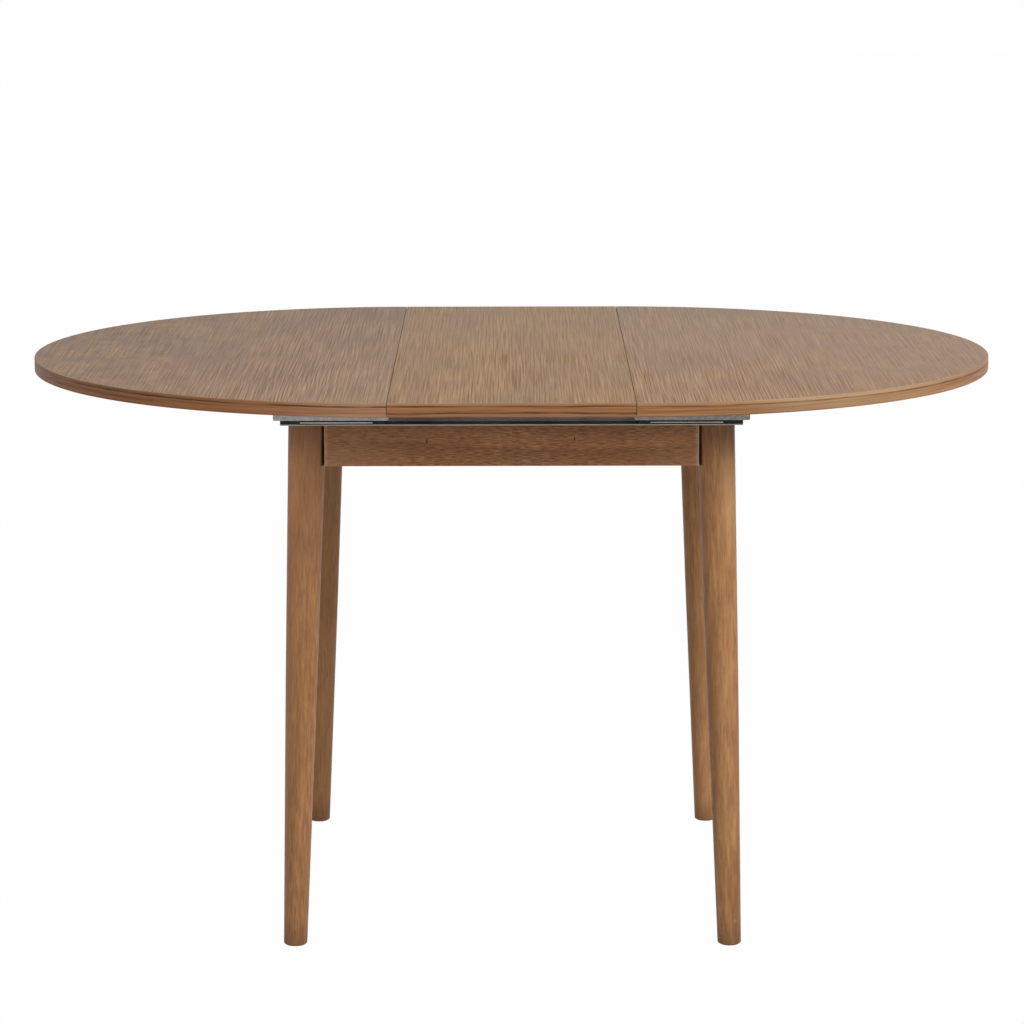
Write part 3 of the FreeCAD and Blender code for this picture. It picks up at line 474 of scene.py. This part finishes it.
left_look = dict(BAND, light=tint(168, 126, 97), dark=tint(97, 66, 43), drift=tint(135, 99, 72))
leaf_look = dict(BAND, light=tint(157, 107, 72), dark=tint(92, 54, 25))
left_band = make_band(
    "left_band", left_look, ((0.0045, 0.95),), follow_rim=True, far_look=LEFT_FAR, reach=LEFT_REACH,
)
right_band = make_band(
    "right_band", BAND, ((0.0048, 0.95),), follow_rim=True, far_look=RIGHT_FAR, reach=RIGHT_REACH,
    line_fade=0.4,
)
leaf_band = make_band("leaf_band", leaf_look, ((0.0035, 0.75), (0.0126, 0.9)))
print("rim radius", round(rim_radius, 3), "about x =", round(rim_middle, 4))

# %% [markdown]
# ## Turned legs
#
# Each leg is turned from one square of solid wood, so the rings run through it and the taper
# cuts across them in long arches. The four legs share one material. It folds the four corners
# onto one, then uses the signs of x and y to put each leg's pith somewhere else, as four
# squares from one plank would have it, and to make the rear pair a shade paler. The front left
# leg has painted light, a pale red, on its shaded outside, is paler near its top and has
# painted shade on its lit inner side. The front right one has painted light on its inner side,
# painted shade on its lit outer side and most at its foot, and a pale flame below its top,
# partly the wood's figure and partly a painted highlight. Patches of honey and small dark
# flecks break up the brown. The feet get the small knocks that feet get. Both ends of each leg
# carry painted shade, with some dirt at the foot, and painted shade lies in the crevices
# beside the aprons.

# %% Leg wood
LEG = {
    "light": tint(168, 121, 79), "dark": tint(101, 62, 33), "pore": tint(62, 38, 21),
    "drift": tint(126, 87, 52), "drift_rates": (4, 30), "drift_share": 0.58,
    "fibre_rates": (42, 430), "fibre_share": 0.48, "pore_rates": (40, 800), "pore_share": 0.2,
    "streak_rates": (5, 90), "streak_share": 0.85, "ring_gap": 0.0075, "ring_share": 0.12,
    "sway": 0.05, "roughness": 0.5, "gloss": 0.25, "relief": 0.00022,
}
PALE_RED = tint(216, 152, 106)
FLAME_AND_HIGHLIGHT = tint(216, 174, 126)
HONEY = tint(178, 138, 78)
KNOCKED = tint(190, 152, 116)
JOINT_SHADE = tint(14, 9, 6)
SIDES_APART = 3.3
ENDS_APART = 7.9
LEG_TOP_RADIUS = 0.0249
leg_low, leg_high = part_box("rear_right_leg")
pad_low, pad_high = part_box("rear_right_foot_pad")
leg_top = leg_low + Vector((LEG_TOP_RADIUS, LEG_TOP_RADIUS, 0))
leg_foot = (pad_low + pad_high) / 2
leg_length = leg_high.z - leg_low.z
apron_low, apron_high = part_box("front_apron")


def make_leg_wood():
    """One wood for all four legs, told apart by the signs of x and y."""
    material, start = new_material("leg_wood")
    x, y, z = split(start, "ShaderNodeTexCoord", "Object")
    side, end = x.math("SIGN"), y.math("SIGN")
    fall = (leg_high.z - z) / leg_length
    across = abs(x) - (fall * (leg_foot.x - leg_top.x) + leg_top.x)
    depth = abs(y) - (fall * (leg_foot.y - leg_top.y) + leg_top.y)
    look = dict(LEG, pith_across=side * 0.02 + 0.034)
    look["pith_depth"] = end * 0.025 + side * 0.008 + 0.012
    along = z + side * SIDES_APART + end * ENDS_APART
    colour, roughness, height = timber(start, along, across * side, depth * end, look)
    colour = blend(start, colour, LEG["light"], end.step(-1, 1) * (side * 0.07 + 0.31))
    front = end.step(1, -1)
    left, right = front * side.step(1, -1), front * side.step(-1, 1)
    # Painted light on the left leg's shaded outside and the right leg's inner side; the left leg is also
    # paler near its top.
    painted_light_and_pale_top = left * (across.step(0.0, 0.02) * 0.3 + z.step(0.53, 0.62) * 0.22)
    painted_light_and_pale_top = right * across.step(-0.004, -0.02) * 0.1 + painted_light_and_pale_top
    colour = blend(start, colour, PALE_RED, painted_light_and_pale_top)
    # A pale flame below the top on the right leg's lit side: partly the wood's figure, partly a painted
    # highlight.
    flame_and_highlight = right * across.step(-0.004, 0.018) * z.step(0.5, 0.6) * z.step(0.69, 0.64)
    colour = blend(start, colour, FLAME_AND_HIGHLIGHT, flame_and_highlight * 0.24)
    # Painted shade on the lit inner side of the left leg and the lit outer side of the right one, most
    # at its foot.
    painted_leg_shade = left * across.step(0.016, -0.012) * 0.27
    painted_leg_shade = right * across.step(-0.005, 0.012) * (z.step(0.15, 0.1) * 0.34 + 0.06) + painted_leg_shade
    colour = blend(start, colour, LEG["dark"], painted_leg_shade)
    honey = noise(start, (across * 130, depth * 130, along * 17), 3.0).step(0.46, 0.68)
    colour = blend(start, colour, HONEY, honey * (side * 0.08 + 0.22))
    flecks = noise(start, (across * 480, depth * 480, along * 60), 3.0).step(0.53, 0.66)
    colour = blend(start, colour, LEG["pore"], flecks * 0.15)
    knocks = noise(start, (x * 70, y * 70, z * 45), 4.0).step(0.6, 0.72) * z.step(0.09, 0.0)
    colour = blend(start, colour, KNOCKED, knocks * 0.4)
    # Painted shade under the table top and at the foot; at the foot the dark is dirt as well.
    end_shade_and_dirt = z.step(0.045, 0.0) + z.step(leg_high.z - 0.06, leg_high.z)
    colour = blend(start, colour, LEG["pore"], end_shade_and_dirt * 0.42)
    # Painted shade in the crevice where the leg meets the apron's end.
    toward_apron = across.math("MINIMUM", depth).step(-0.0175, -0.022)
    crevice_shade = toward_apron * z.step(apron_low.z - 0.001, apron_low.z + 0.001)
    colour = blend(start, colour, JOINT_SHADE, crevice_shade * 0.92)
    finish_wood(start, colour, roughness + knocks * 0.2, height, look)
    return material


leg_wood = make_leg_wood()
print("a leg leans", round(leg_foot.x - leg_top.x, 4), "m each way over", round(leg_length, 3))

# %% [markdown]
# ## Aprons, blocks and battens
#
# The front apron shows open-pored grain along its length and two pin knots. A knot is a branch
# the tree grew round, so the lines part about a dark spot. Near its ends its lower part carries
# painted light, more at the left, and the edges of its ends a thin painted highlight. The blocks
# in the corners and the battens under the leaf are never seen from a chair: they are plain pale
# wood under a thin coat of the same stain.

# %% Apron and inner wood
APRON = {
    "light": tint(177, 127, 87), "dark": tint(90, 55, 27), "pore": tint(48, 28, 13),
    "drift": tint(118, 74, 40), "drift_rates": (6, 40), "drift_share": 0.3,
    "fibre_rates": (80, 900), "fibre_share": 0.56, "pore_rates": (160, 1000), "pore_share": 0.4,
    "streak_rates": (22, 300), "streak_share": 0.22, "ring_gap": 0.006, "ring_share": 0.22,
    "sway": 0.04, "pith_across": 0.055, "pith_depth": 0.06, "roughness": 0.5, "gloss": 0.15,
    "relief": 0.00025,
}
INNER = dict(
    APRON, light=tint(190, 154, 110), dark=tint(150, 112, 74), pore=tint(108, 76, 50),
    drift=tint(170, 132, 92), pore_share=0.35, roughness=0.6,
)
KNOTS = ((0.0826, 0.682), (-0.111, 0.679))
KNOT_ACROSS = 1.5
KNOT_UP = 0.55
APRONS_APART = 4.3
LOW_END_LIGHT = tint(196, 160, 128)
END_HIGHLIGHT = tint(206, 172, 142)


def make_apron_wood(name, look, runs_along_x):
    """Wood for aprons, blocks or battens, with the grain along X or along Y."""
    material, start = new_material(name)
    x, y, z = split(start, "ShaderNodeTexCoord", "Object")
    along, depth = (x, abs(y)) if runs_along_x else (y, abs(x))
    level = z - (apron_low.z + apron_high.z) / 2
    across = level
    spots = 0.0
    shown = runs_along_x and look is APRON
    if shown:
        for knot_x, knot_z in KNOTS:
            over = (along - knot_x) * KNOT_ACROSS
            up = (z - knot_z) * KNOT_UP
            off = (over * over + up * up).math("SQRT")
            across = across + off.step(0.006, 0.0) * up.math("SIGN") * 0.0015
            spots = off.step(0.0021, 0.0007) + spots
    along = along + y.math("SIGN") * APRONS_APART
    colour, roughness, height = timber(start, along, across, depth, look)
    if shown:
        colour = blend(start, colour, APRON["pore"], spots * 0.9)
        # Painted light on the lower part near the ends, more at the left, where the top shades the apron
        # less.
        from_end = apron_high.x - abs(x)
        painted_low_light = from_end.step(0.12, 0.0) * level.step(0.03, -0.025)
        colour = blend(start, colour, LOW_END_LIGHT, painted_low_light * (x.step(0.1, -0.2) * 0.06 + 0.1))
        # A painted highlight along the edges of the apron's ends.
        wear_and_highlight = from_end.step(0.006, 0.003) * 0.16
        wear_and_highlight = from_end.step(0.0018, 0.0006) * 0.5 + wear_and_highlight
        colour = blend(start, colour, END_HIGHLIGHT, wear_and_highlight)
    finish_wood(start, colour, roughness, height, look)
    return material


apron_wood = make_apron_wood("apron_wood", APRON, runs_along_x=True)
side_apron_wood = make_apron_wood("side_apron_wood", APRON, runs_along_x=False)
block_wood = make_apron_wood("block_wood", INNER, runs_along_x=True)
batten_wood = make_apron_wood("batten_wood", INNER, runs_along_x=False)
print("knots at", KNOTS)

# %% [markdown]
# ## Runner metals
#
# The fixed rail is a drawn channel, and the die has left fine lines along its length. The
# sliders are folded from zinc plated sheet, which has large soft crystals and a slight haze.
# Both are metal, so their colour is the colour of their reflection, and the detail lives in the
# roughness and in a very shallow relief. The sliders carry painted shade inside the channel, the
# right pair is a copy of the zinc darkened as painted shade, and the cut edges are brighter,
# partly bare metal and partly a painted highlight.

# %% Rails, sliders and fixings
CHANNEL_SHADE = tint(30, 28, 26)
CUT_METAL_HIGHLIGHT = tint(206, 198, 186)
CUT_ZINC_HIGHLIGHT = tint(206, 200, 192)
DRAWN_RELIEF = 0.00003
ZINC_RELIEF = 0.00004


def shaded(colour, share):
    """The tint of a colour at a share of its values."""
    return tint(*[value * share for value in colour])


def finish_metal(start, shade, roughness, height, relief):
    """End a bare metal with the relief of its height in metres."""
    sockets = {"Base Color": shade, "Roughness": roughness, "Metallic": 1.0}
    surface(start, sockets, height, relief)


def make_drawn_metal(name, colour, dull, highlit_edge_y=None):
    """Metal drawn along X, brighter past the given distance along Y: a cut edge with a painted
    highlight.
    """
    material, start = new_material(name)
    x, y, z = split(start, "ShaderNodeTexCoord", "Object")
    lines = noise(start, (x * 3, y * 1600, z * 1600), 3.0)
    handled = noise(start, (x * 14, y * 40, z * 40), 4.0)
    shade = blend(start, tint(*colour), shaded(colour, 0.72), lines)
    shade = blend(start, shade, shaded(colour, 0.6), handled.step(0.5, 0.75) * 0.5)
    # Brighter at the cut edge: bare metal and a painted highlight.
    if highlit_edge_y:
        edge_highlight = abs(y).step(highlit_edge_y - 0.0006, highlit_edge_y - 0.0002)
        shade = blend(start, shade, CUT_METAL_HIGHLIGHT, edge_highlight * 0.22)
    roughness = dull + (lines - 0.5) * 0.2 + handled.step(0.5, 0.7) * 0.1
    finish_metal(start, shade, roughness, lines, DRAWN_RELIEF)
    return material


def make_zinc(name, colour, crystal, shade_inside=0.0):
    """Zinc plate with crystals of this size, painted shade nearer than this along Y and a cut edge with
    a painted highlight just past it.
    """
    material, start = new_material(name)
    x, y, z = split(start, "ShaderNodeTexCoord", "Object")
    cells = {"Vector": vector(start, x, y, z), "Scale": 1 / crystal, "Randomness": 1.0}
    grains = start.add("ShaderNodeTexVoronoi", (), cells, "Color")
    grain = start.add("ShaderNodeSeparateColor", (), {0: grains}, "Red")
    haze = noise(start, (x, y, z), 4.0, 55.0)
    shade = blend(start, tint(*colour), shaded(colour, 0.92), grain)
    shade = blend(start, shade, shaded(colour, 0.78), haze.step(0.5, 0.75) * 0.5)
    if shade_inside:
        # Painted shade inside the channel, then a painted highlight on the cut edge just past it.
        outside = abs(y) - shade_inside
        shade = blend(start, shade, CHANNEL_SHADE, outside.step(0.0005, -0.0005) * 0.9)
        edge_highlight = outside.step(0.0004, 0.0008) * outside.step(0.003, 0.002)
        shade = blend(start, shade, CUT_ZINC_HIGHLIGHT, edge_highlight * 0.2)
    roughness = grain * 0.14 + haze * 0.18 + 0.3
    finish_metal(start, shade, roughness, haze, ZINC_RELIEF)
    return material


rail_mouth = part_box("rear_rail")[1].y
channel_shade_edge = rail_mouth - 0.002
rail_metal = make_drawn_metal("rail_metal", (124, 121, 116), dull=0.4, highlit_edge_y=rail_mouth)
slider_zinc = make_zinc("slider_zinc", (156, 150, 147), crystal=0.003, shade_inside=channel_shade_edge)
# A darker copy of the slider zinc: painted shade for the right sliders under the board.
dull_zinc = make_zinc("dull_zinc", (129, 125, 122), crystal=0.003, shade_inside=channel_shade_edge)
fixing_zinc = make_zinc("fixing_zinc", (196, 192, 178), crystal=0.0015)
pin_steel = make_drawn_metal("pin_steel", (150, 150, 152), dull=0.3)
metals = (rail_metal, slider_zinc, dull_zinc, fixing_zinc, pin_steel)
print("metals:", [metal.name for metal in metals])

# %% [markdown]
# ## Nylon glides and felt pads
#
# The glides are moulded nylon: near black, with the fine grain of the mould and rubbed a little
# shiny where they run. The pads under the legs are pressed felt, a mat of crossing fibres, so
# their relief is deep for their size and they have hardly any gloss.

# %% Nylon and felt
NYLON_BLACK = tint(22, 22, 23)
NYLON_RUBBED = tint(46, 46, 48)
NYLON_RELIEF = 0.00008
FELT_DARK = tint(58, 46, 38)
FELT_LIGHT = tint(112, 94, 80)
FELT_RELIEF = 0.0005


def make_nylon():
    material, start = new_material("glide_nylon")
    place = split(start, "ShaderNodeTexCoord", "Object")
    grain = noise(start, place, 2.0, 1400.0)
    wear_and_highlight = noise(start, place, 3.0, 60.0)
    shade = blend(start, NYLON_BLACK, NYLON_RUBBED, wear_and_highlight.step(0.45, 0.7))
    roughness = grain * 0.2 - wear_and_highlight.step(0.5, 0.7) * 0.15 + 0.4
    finish = {"Base Color": shade, "Roughness": roughness, "Specular IOR Level": 0.2}
    surface(start, finish, grain, NYLON_RELIEF)
    return material


def make_felt():
    material, start = new_material("pad_felt")
    x, y, z = split(start, "ShaderNodeTexCoord", "Object")
    one_way = noise(start, (x * 2600, y * 500, z * 1800), 3.0)
    other_way = noise(start, (x * 500, y * 2600, z * 1800), 3.0)
    fibres = one_way.math("MAXIMUM", other_way)
    shade = blend(start, FELT_DARK, FELT_LIGHT, fibres.step(0.45, 0.7))
    roughness = fibres * 0.1 + 0.88
    surface(start, {"Base Color": shade, "Roughness": roughness}, fibres, FELT_RELIEF)
    return material


glide_nylon = make_nylon()
pad_felt = make_felt()
print("soft and moulded:", glide_nylon.name, pad_felt.name)

# %% [markdown]
# ## Giving each piece its finish
#
# A finish goes into the slot that a piece came with. Its mesh stays as it was built. Most
# pieces take the finish of their slot, and a few take one of their own: the three boards, whose
# veneers differ, the bands of the two halves, the right sliders, the side aprons, the battens and
# the pins.

# %% Hand out the finishes
by_slot = {
    "edge_band": leaf_band, "leg_wood": leg_wood, "apron_wood": apron_wood, "block_wood": block_wood,
    "rail_steel": rail_metal, "slider_steel": slider_zinc, "glide_plastic": glide_nylon,
    "felt": pad_felt, "fastener_steel": fixing_zinc,
}
by_node = dict(
    veneers, left_edge_band=left_band, right_edge_band=right_band,
    right_front_slider=dull_zinc, right_rear_slider=dull_zinc,
    left_apron=side_apron_wood, right_apron=side_apron_wood,
    leaf_left_batten=batten_wood, leaf_right_batten=batten_wood,
    left_stop_pins=pin_steel, right_stop_pins=pin_steel,
)
for part in frame["record"]["subparts"]:
    finish = by_node.get(part["node"]) or by_slot[part["material_slot"]]
    piece = nodes[part["node"]]
    piece.data.materials.clear()
    piece.data.materials.append(finish)

# %% [markdown]
# ## Where the fixings sit
#
# Each group of screws came as one node of several solids. Their places are worth reading from
# that node rather than typing again. Faces that share corners belong to one solid, so joining
# equal corners and walking from face to face splits the group, and the box of each solid gives
# its place and length.

# %% Split a group into its solids
EQUAL_DIGITS = 6


def solids_of(node):
    """The box of each solid in a node, as its lowest and highest corner."""
    mesh = nodes[node].data
    owner = {}

    def root(corner):
        """The corner that stands for the whole solid."""
        while owner[corner] != corner:
            owner[corner] = owner[owner[corner]]
            corner = owner[corner]
        return corner

    keys = [tuple(round(value, EQUAL_DIGITS) for value in vertex.co) for vertex in mesh.vertices]
    for key in keys:
        owner[key] = key
    for face in mesh.polygons:
        first = root(keys[face.vertices[0]])
        for corner in face.vertices[1:]:
            owner[root(keys[corner])] = first
    solids = {}
    for key in owner:
        solids.setdefault(root(key), []).append(Vector(key))
    return [
        (Vector(map(min, *points)), Vector(map(max, *points))) for points in solids.values()
    ]


print("rail screws:", len(solids_of("rail_screws")), "leg bolts:", len(solids_of("leg_bolts")))

# %% [markdown]
# ## Screws from a node tree
#
# A screw is a shape with a rule: a thread that climbs one pitch in each turn, a domed head and
# a cross cut into it. Geometry Nodes build it once from its sizes and set a copy on every
# point, turned to the way it is driven and then by some chance angle about its own axis, since
# nobody lines up the crosses. The thread is a flat grid rolled into a tube, with the radius
# rising and falling along a slope. The same class of sockets writes the sums.

# %% The screw tree
# Welds are in metres, the thread's depth and the point in radii, what is sunk in pitches.
WELD = 1e-6
CUT_WELD = 1e-5
THREAD_SIDES = 12
ROWS_PER_TURN = 4
THREAD_DEPTH = 0.26
BLUNT_TURNS = 0.125
SCREW_POINT = 2.2
SHANK_SUNK = 0.25
HEAD_SIDES = 24
HEAD_ROWS = 8
HEAD_FULLNESS = 0.6
HEAD_FLATNESS = 0.75


def new_tree(name, inputs):
    """An empty tree with points for its input and further inputs of the kinds named."""
    tree = bpy.data.node_groups.new(name, "GeometryNodeTree")
    tree.interface.new_socket("Geometry", in_out="OUTPUT", socket_type="NodeSocketGeometry")
    tree.interface.new_socket("Points", in_out="INPUT", socket_type="NodeSocketGeometry")
    for label, kind in inputs.items():
        tree.interface.new_socket(label, in_out="INPUT", socket_type=f"NodeSocket{kind}")
    start = Wire(tree)
    given = {label: start.add("NodeGroupInput", (), (), label) for label in ("Points", *inputs)}
    return start, given


def rolled(start, around, rows, radius_of, height_of):
    """A grid rolled into a tube. Both rules take shares of the turn and of the length."""
    sizes = {"Size X": 1.0, "Size Y": 1.0, "Vertices X": around + 1, "Vertices Y": rows}
    sheet = start.add("GeometryNodeMeshGrid", (), sizes)
    x, y, _ = split(start, "GeometryNodeInputPosition")
    turn, share = x + 0.5, y + 0.5
    angle = turn * math.tau
    radius = radius_of(turn, share)
    sideways = radius * angle.math("COSINE"), radius * angle.math("SINE")
    place = vector(start, *sideways, height_of(share))
    tube = start.add("GeometryNodeSetPosition", (), {"Geometry": sheet, "Position": place})
    return start.add("GeometryNodeMergeByDistance", (), {"Geometry": tube, "Distance": WELD})


def threaded(start, radius, length, pitch, tip_share, sunk=0.0):
    """A closed threaded rod along +Z, from sunk below the origin to a point of tip_share radii."""
    whole = length + sunk

    def rod_radius(turn, share):
        turns = share * whole / pitch
        ridge = abs((turns - turn).math("FRACT") - 0.5) * 2
        point = ((1 - share) * whole / (radius * tip_share)).math("MINIMUM", 1.0)
        blunt = (turns / BLUNT_TURNS).math("MINIMUM", 1.0)
        return radius * (ridge * THREAD_DEPTH + (1 - THREAD_DEPTH)) * point * blunt

    def rod_height(share):
        return share * whole - sunk

    rows = whole / pitch * ROWS_PER_TURN + 1
    return rolled(start, THREAD_SIDES, rows, rod_radius, rod_height)


def disc(start, radius):
    """A filled circle with as many corners as a head or a nut's barrel has sides."""
    sizes = {"Vertices": HEAD_SIDES, "Radius": radius}
    return start.add("GeometryNodeMeshCircle", {"fill_type": "NGON"}, sizes)


def set_out(start, given, solid):
    """Copy a solid to each point, aim it, spin it by chance and end the tree."""
    kind = {"data_type": "FLOAT_VECTOR"}
    aim = start.add("GeometryNodeInputNamedAttribute", kind, {"Name": "aim"})
    turned = start.add("FunctionNodeAlignRotationToVector", {"axis": "Z"}, {"Vector": aim})
    setting = {"Points": given["Points"], "Instance": solid, "Rotation": turned}
    copies = start.add("GeometryNodeInstanceOnPoints", (), setting)
    full_turn = {"Max_001": math.tau, "Seed": given["Seed"]}
    chance = start.add("FunctionNodeRandomValue", (), full_turn, "Value_001")
    spin = vector(start, 0.0, 0.0, chance)
    spun = start.add("GeometryNodeRotateInstances", (), {"Instances": copies, "Rotation": spin})
    real = start.add("GeometryNodeRealizeInstances", (), {"Geometry": spun})
    done = start.add("GeometryNodeSetMaterial", (), {"Geometry": real, "Material": given["Finish"]})
    start.add("NodeGroupOutput", (), {"Geometry": done})


def make_screw_tree():
    """A screw with its origin under the head and its point along +Z."""
    inputs = {
        "Head Radius": "Float", "Head Height": "Float", "Shank Radius": "Float", "Length": "Float",
        "Pitch": "Float", "Recess Length": "Float", "Recess Width": "Float", "Recess Depth": "Float",
        "Seed": "Int", "Finish": "Material",
    }
    start, given = new_tree("cross_head_screw", inputs)
    pitch, sunk = given["Pitch"], given["Pitch"] * SHANK_SUNK
    shank = threaded(start, given["Shank Radius"], given["Length"], pitch, SCREW_POINT, sunk)
    head_radius, head_height = given["Head Radius"], given["Head Height"]

    def dome_radius(turn, share):
        fall = (share * math.pi / 2).math("COSINE").math("MAXIMUM", 0.0)
        return head_radius * fall.math("POWER", HEAD_FULLNESS)

    def dome_height(share):
        rise = (share * math.pi / 2).math("SINE")
        return head_height * rise.math("POWER", HEAD_FLATNESS) * -1

    inside_out = rolled(start, HEAD_SIDES, HEAD_ROWS, dome_radius, dome_height)
    dome = start.add("GeometryNodeFlipFaces", (), {"Mesh": inside_out})
    under = disc(start, head_radius)
    both = start.add("GeometryNodeJoinGeometry", (), {"Geometry": [dome, under]})
    head = start.add("GeometryNodeMergeByDistance", (), {"Geometry": both, "Distance": WELD})
    long, narrow, deep = (given[f"Recess {side}"] for side in ("Length", "Width", "Depth"))
    cutters = []
    for size in ((long, narrow), (narrow, long)):
        block = start.add("GeometryNodeMeshCube", (), {"Size": vector(start, *size, deep * 2)})
        lift = vector(start, 0.0, 0.0, head_height * -1)
        cutters.append(start.add("GeometryNodeTransform", (), {"Geometry": block, "Translation": lift}))
    exact_cut = {"operation": "DIFFERENCE", "solver": "EXACT"}
    cut = start.add("GeometryNodeMeshBoolean", exact_cut, {0: head, 1: cutters})
    cut = start.add("GeometryNodeMergeByDistance", (), {"Geometry": cut, "Distance": CUT_WELD})
    screw = start.add("GeometryNodeJoinGeometry", (), {"Geometry": [shank, cut]})
    set_out(start, given, screw)
    return start.tree


screw_tree = make_screw_tree()
print("screw tree:", len(screw_tree.nodes), "nodes")

# %% [markdown]
# ## Driving the screws
#
# A tree does nothing until an object carries it. Each group becomes an object with one vertex
# for each screw and an attribute that says which way it is driven. The sizes are set by the
# sockets' identifiers, the result becomes a plain mesh on the right body, and it stands in for
# the plain solids of that group.

# %% Screws in place
SCREW_HEAD_HEIGHT = 0.0024
SHARP_ANGLE = math.radians(35)
SCREW = {
    "Head Radius": 0.004, "Head Height": SCREW_HEAD_HEIGHT, "Shank Radius": 0.002, "Pitch": 0.0016,
    "Recess Length": 0.0040, "Recess Width": 0.0009, "Recess Depth": 0.0013,
    "Finish": fixing_zinc,
}
bodies = frame["record"]["behaviour"]["bodies"]
body_of_node = {node: body for body, members in bodies.items() for node in members}


def dress(name, points, aims, tree, values):
    """One plain mesh from a tree on a set of points."""
    mesh = bpy.data.meshes.new(name)
    mesh.from_pydata(points, [], [])
    aim = mesh.attributes.new("aim", "FLOAT_VECTOR", "POINT")
    aim.data.foreach_set("vector", [value for way in aims for value in way])
    carrier = bpy.data.objects.new(name, mesh)
    scene.collection.objects.link(carrier)
    modifier = carrier.modifiers.new("tree", "NODES")
    modifier.node_group = tree
    for socket in tree.interface.items_tree:
        if socket.in_out == "INPUT" and socket.name in values:
            modifier[socket.identifier] = values[socket.name]
    seen = carrier.evaluated_get(bpy.context.evaluated_depsgraph_get())
    plain = bpy.data.meshes.new_from_object(seen)
    carrier.modifiers.remove(modifier)
    carrier.data = plain
    plain.set_sharp_from_angle(angle=SHARP_ANGLE)
    return carrier


def drive_screws(node, seed):
    """Threaded screws in place of a node's plain ones. All screws of a node are equally long."""
    points, aims, length = [], [], 0.0
    for low, high in solids_of(node):
        middle, extent = (low + high) / 2, high - low
        axis = max(range(3), key=lambda index: extent[index])
        aim = Vector((0, 0, 0))
        aim[axis] = 1 if axis == 2 or middle[axis] > 0 else -1
        length = extent[axis] - SCREW_HEAD_HEIGHT
        points.append(middle + aim * (SCREW_HEAD_HEIGHT - extent[axis] / 2))
        aims.append(aim)
    sizes = dict(SCREW, Length=length, Seed=seed)
    screws = dress(f"{node}_threaded", points, aims, screw_tree, sizes)
    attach(screws, body_of_node[node])
    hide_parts(node)
    print(node, len(points), "screws,", len(screws.data.polygons), "faces")


screw_groups = (
    "rail_screws", "corner_block_screws", "left_slider_screws", "right_slider_screws",
    "leaf_batten_screws",
)
for seed, node in enumerate(screw_groups, start=3):
    drive_screws(node, seed)

# %% [markdown]
# ## Hanger bolts and nuts
#
# A hanger bolt is a wood screw at one end and a machine screw at the other. In each corner two
# of them hold the leg to the block. The nut is a six-sided prism whose corners are turned off
# at both faces, which is what one gets by keeping only what a prism and a short fat tube with
# sloping ends have in common.

# %% Bolts in place
# Lengths are in metres. The barrel that shapes the nut is in radii and heights of the nut.
BOLT_RADIUS = 0.004
NUT_RADIUS = 0.0075
NUT_HEIGHT = 0.0065
BOLT_TAIL = 0.0025
BOLT_PITCH = 0.002
BOLT_POINT = 0.6
BOLT_SEED = 11
BARREL_MIDDLE = 1.35
BARREL_END = 0.87
BARREL_LENGTH = 1.02
BARREL_ROWS = 3


def make_bolt_tree():
    """A bolt and nut with the origin at the bolt's free end and the wood ahead along +Z."""
    inputs = {
        "Radius": "Float", "Length": "Float", "Pitch": "Float", "Tail": "Float",
        "Nut Radius": "Float", "Nut Height": "Float", "Seed": "Int", "Finish": "Material",
    }
    start, given = new_tree("hanger_bolt", inputs)
    rod = threaded(start, given["Radius"], given["Length"], given["Pitch"], BOLT_POINT)
    prism_sizes = {"Vertices": 6, "Radius": given["Nut Radius"], "Depth": given["Nut Height"]}
    prism = start.add("GeometryNodeMeshCylinder", (), prism_sizes)

    def barrel_radius(turn, share):
        slope = 2 * (BARREL_MIDDLE - BARREL_END)
        return given["Nut Radius"] * (BARREL_MIDDLE - abs(share - 0.5) * slope)

    def barrel_height(share):
        return (share - 0.5) * given["Nut Height"] * BARREL_LENGTH

    wall = rolled(start, HEAD_SIDES, BARREL_ROWS, barrel_radius, barrel_height)
    ends = []
    for side in (-BARREL_LENGTH / 2, BARREL_LENGTH / 2):
        end = disc(start, given["Nut Radius"] * BARREL_END)
        lift = vector(start, 0.0, 0.0, given["Nut Height"] * side)
        ends.append(start.add("GeometryNodeTransform", (), {"Geometry": end, "Translation": lift}))
    shell = start.add("GeometryNodeJoinGeometry", (), {"Geometry": [wall, *ends]})
    barrel = start.add("GeometryNodeMergeByDistance", (), {"Geometry": shell, "Distance": WELD})
    nut = start.add("GeometryNodeMeshBoolean", {"operation": "INTERSECT"}, {1: [prism, barrel]})
    seat = vector(start, 0.0, 0.0, given["Nut Height"] * 0.5 + given["Tail"])
    nut = start.add("GeometryNodeTransform", (), {"Geometry": nut, "Translation": seat})
    bolt = start.add("GeometryNodeJoinGeometry", (), {"Geometry": [rod, nut]})
    set_out(start, given, bolt)
    return start.tree


def set_bolts():
    """Threaded bolts and chamfered nuts in place of the plain ones."""
    points, aims, length = [], [], 0.0
    for low, high in solids_of("leg_bolts"):
        middle = (low + high) / 2
        aim = Vector((math.copysign(1, middle.x), math.copysign(1, middle.y), 0)).normalized()
        length = (high.x - low.x) * math.sqrt(2) - 2 * BOLT_RADIUS
        points.append(middle - aim * length / 2)
        aims.append(aim)
    values = {
        "Radius": BOLT_RADIUS, "Length": length, "Pitch": BOLT_PITCH, "Tail": BOLT_TAIL,
        "Nut Radius": NUT_RADIUS, "Nut Height": NUT_HEIGHT, "Seed": BOLT_SEED, "Finish": fixing_zinc,
    }
    bolts = dress("leg_bolts_threaded", points, aims, make_bolt_tree(), values)
    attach(bolts, "frame")
    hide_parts("leg_bolts", "leg_nuts")
    print("bolts:", len(points), "of", round(length * 1000, 1), "mm,", len(bolts.data.polygons), "faces")


set_bolts()

# %% [markdown] ## Finish Dressing mustn't change the size of the table.
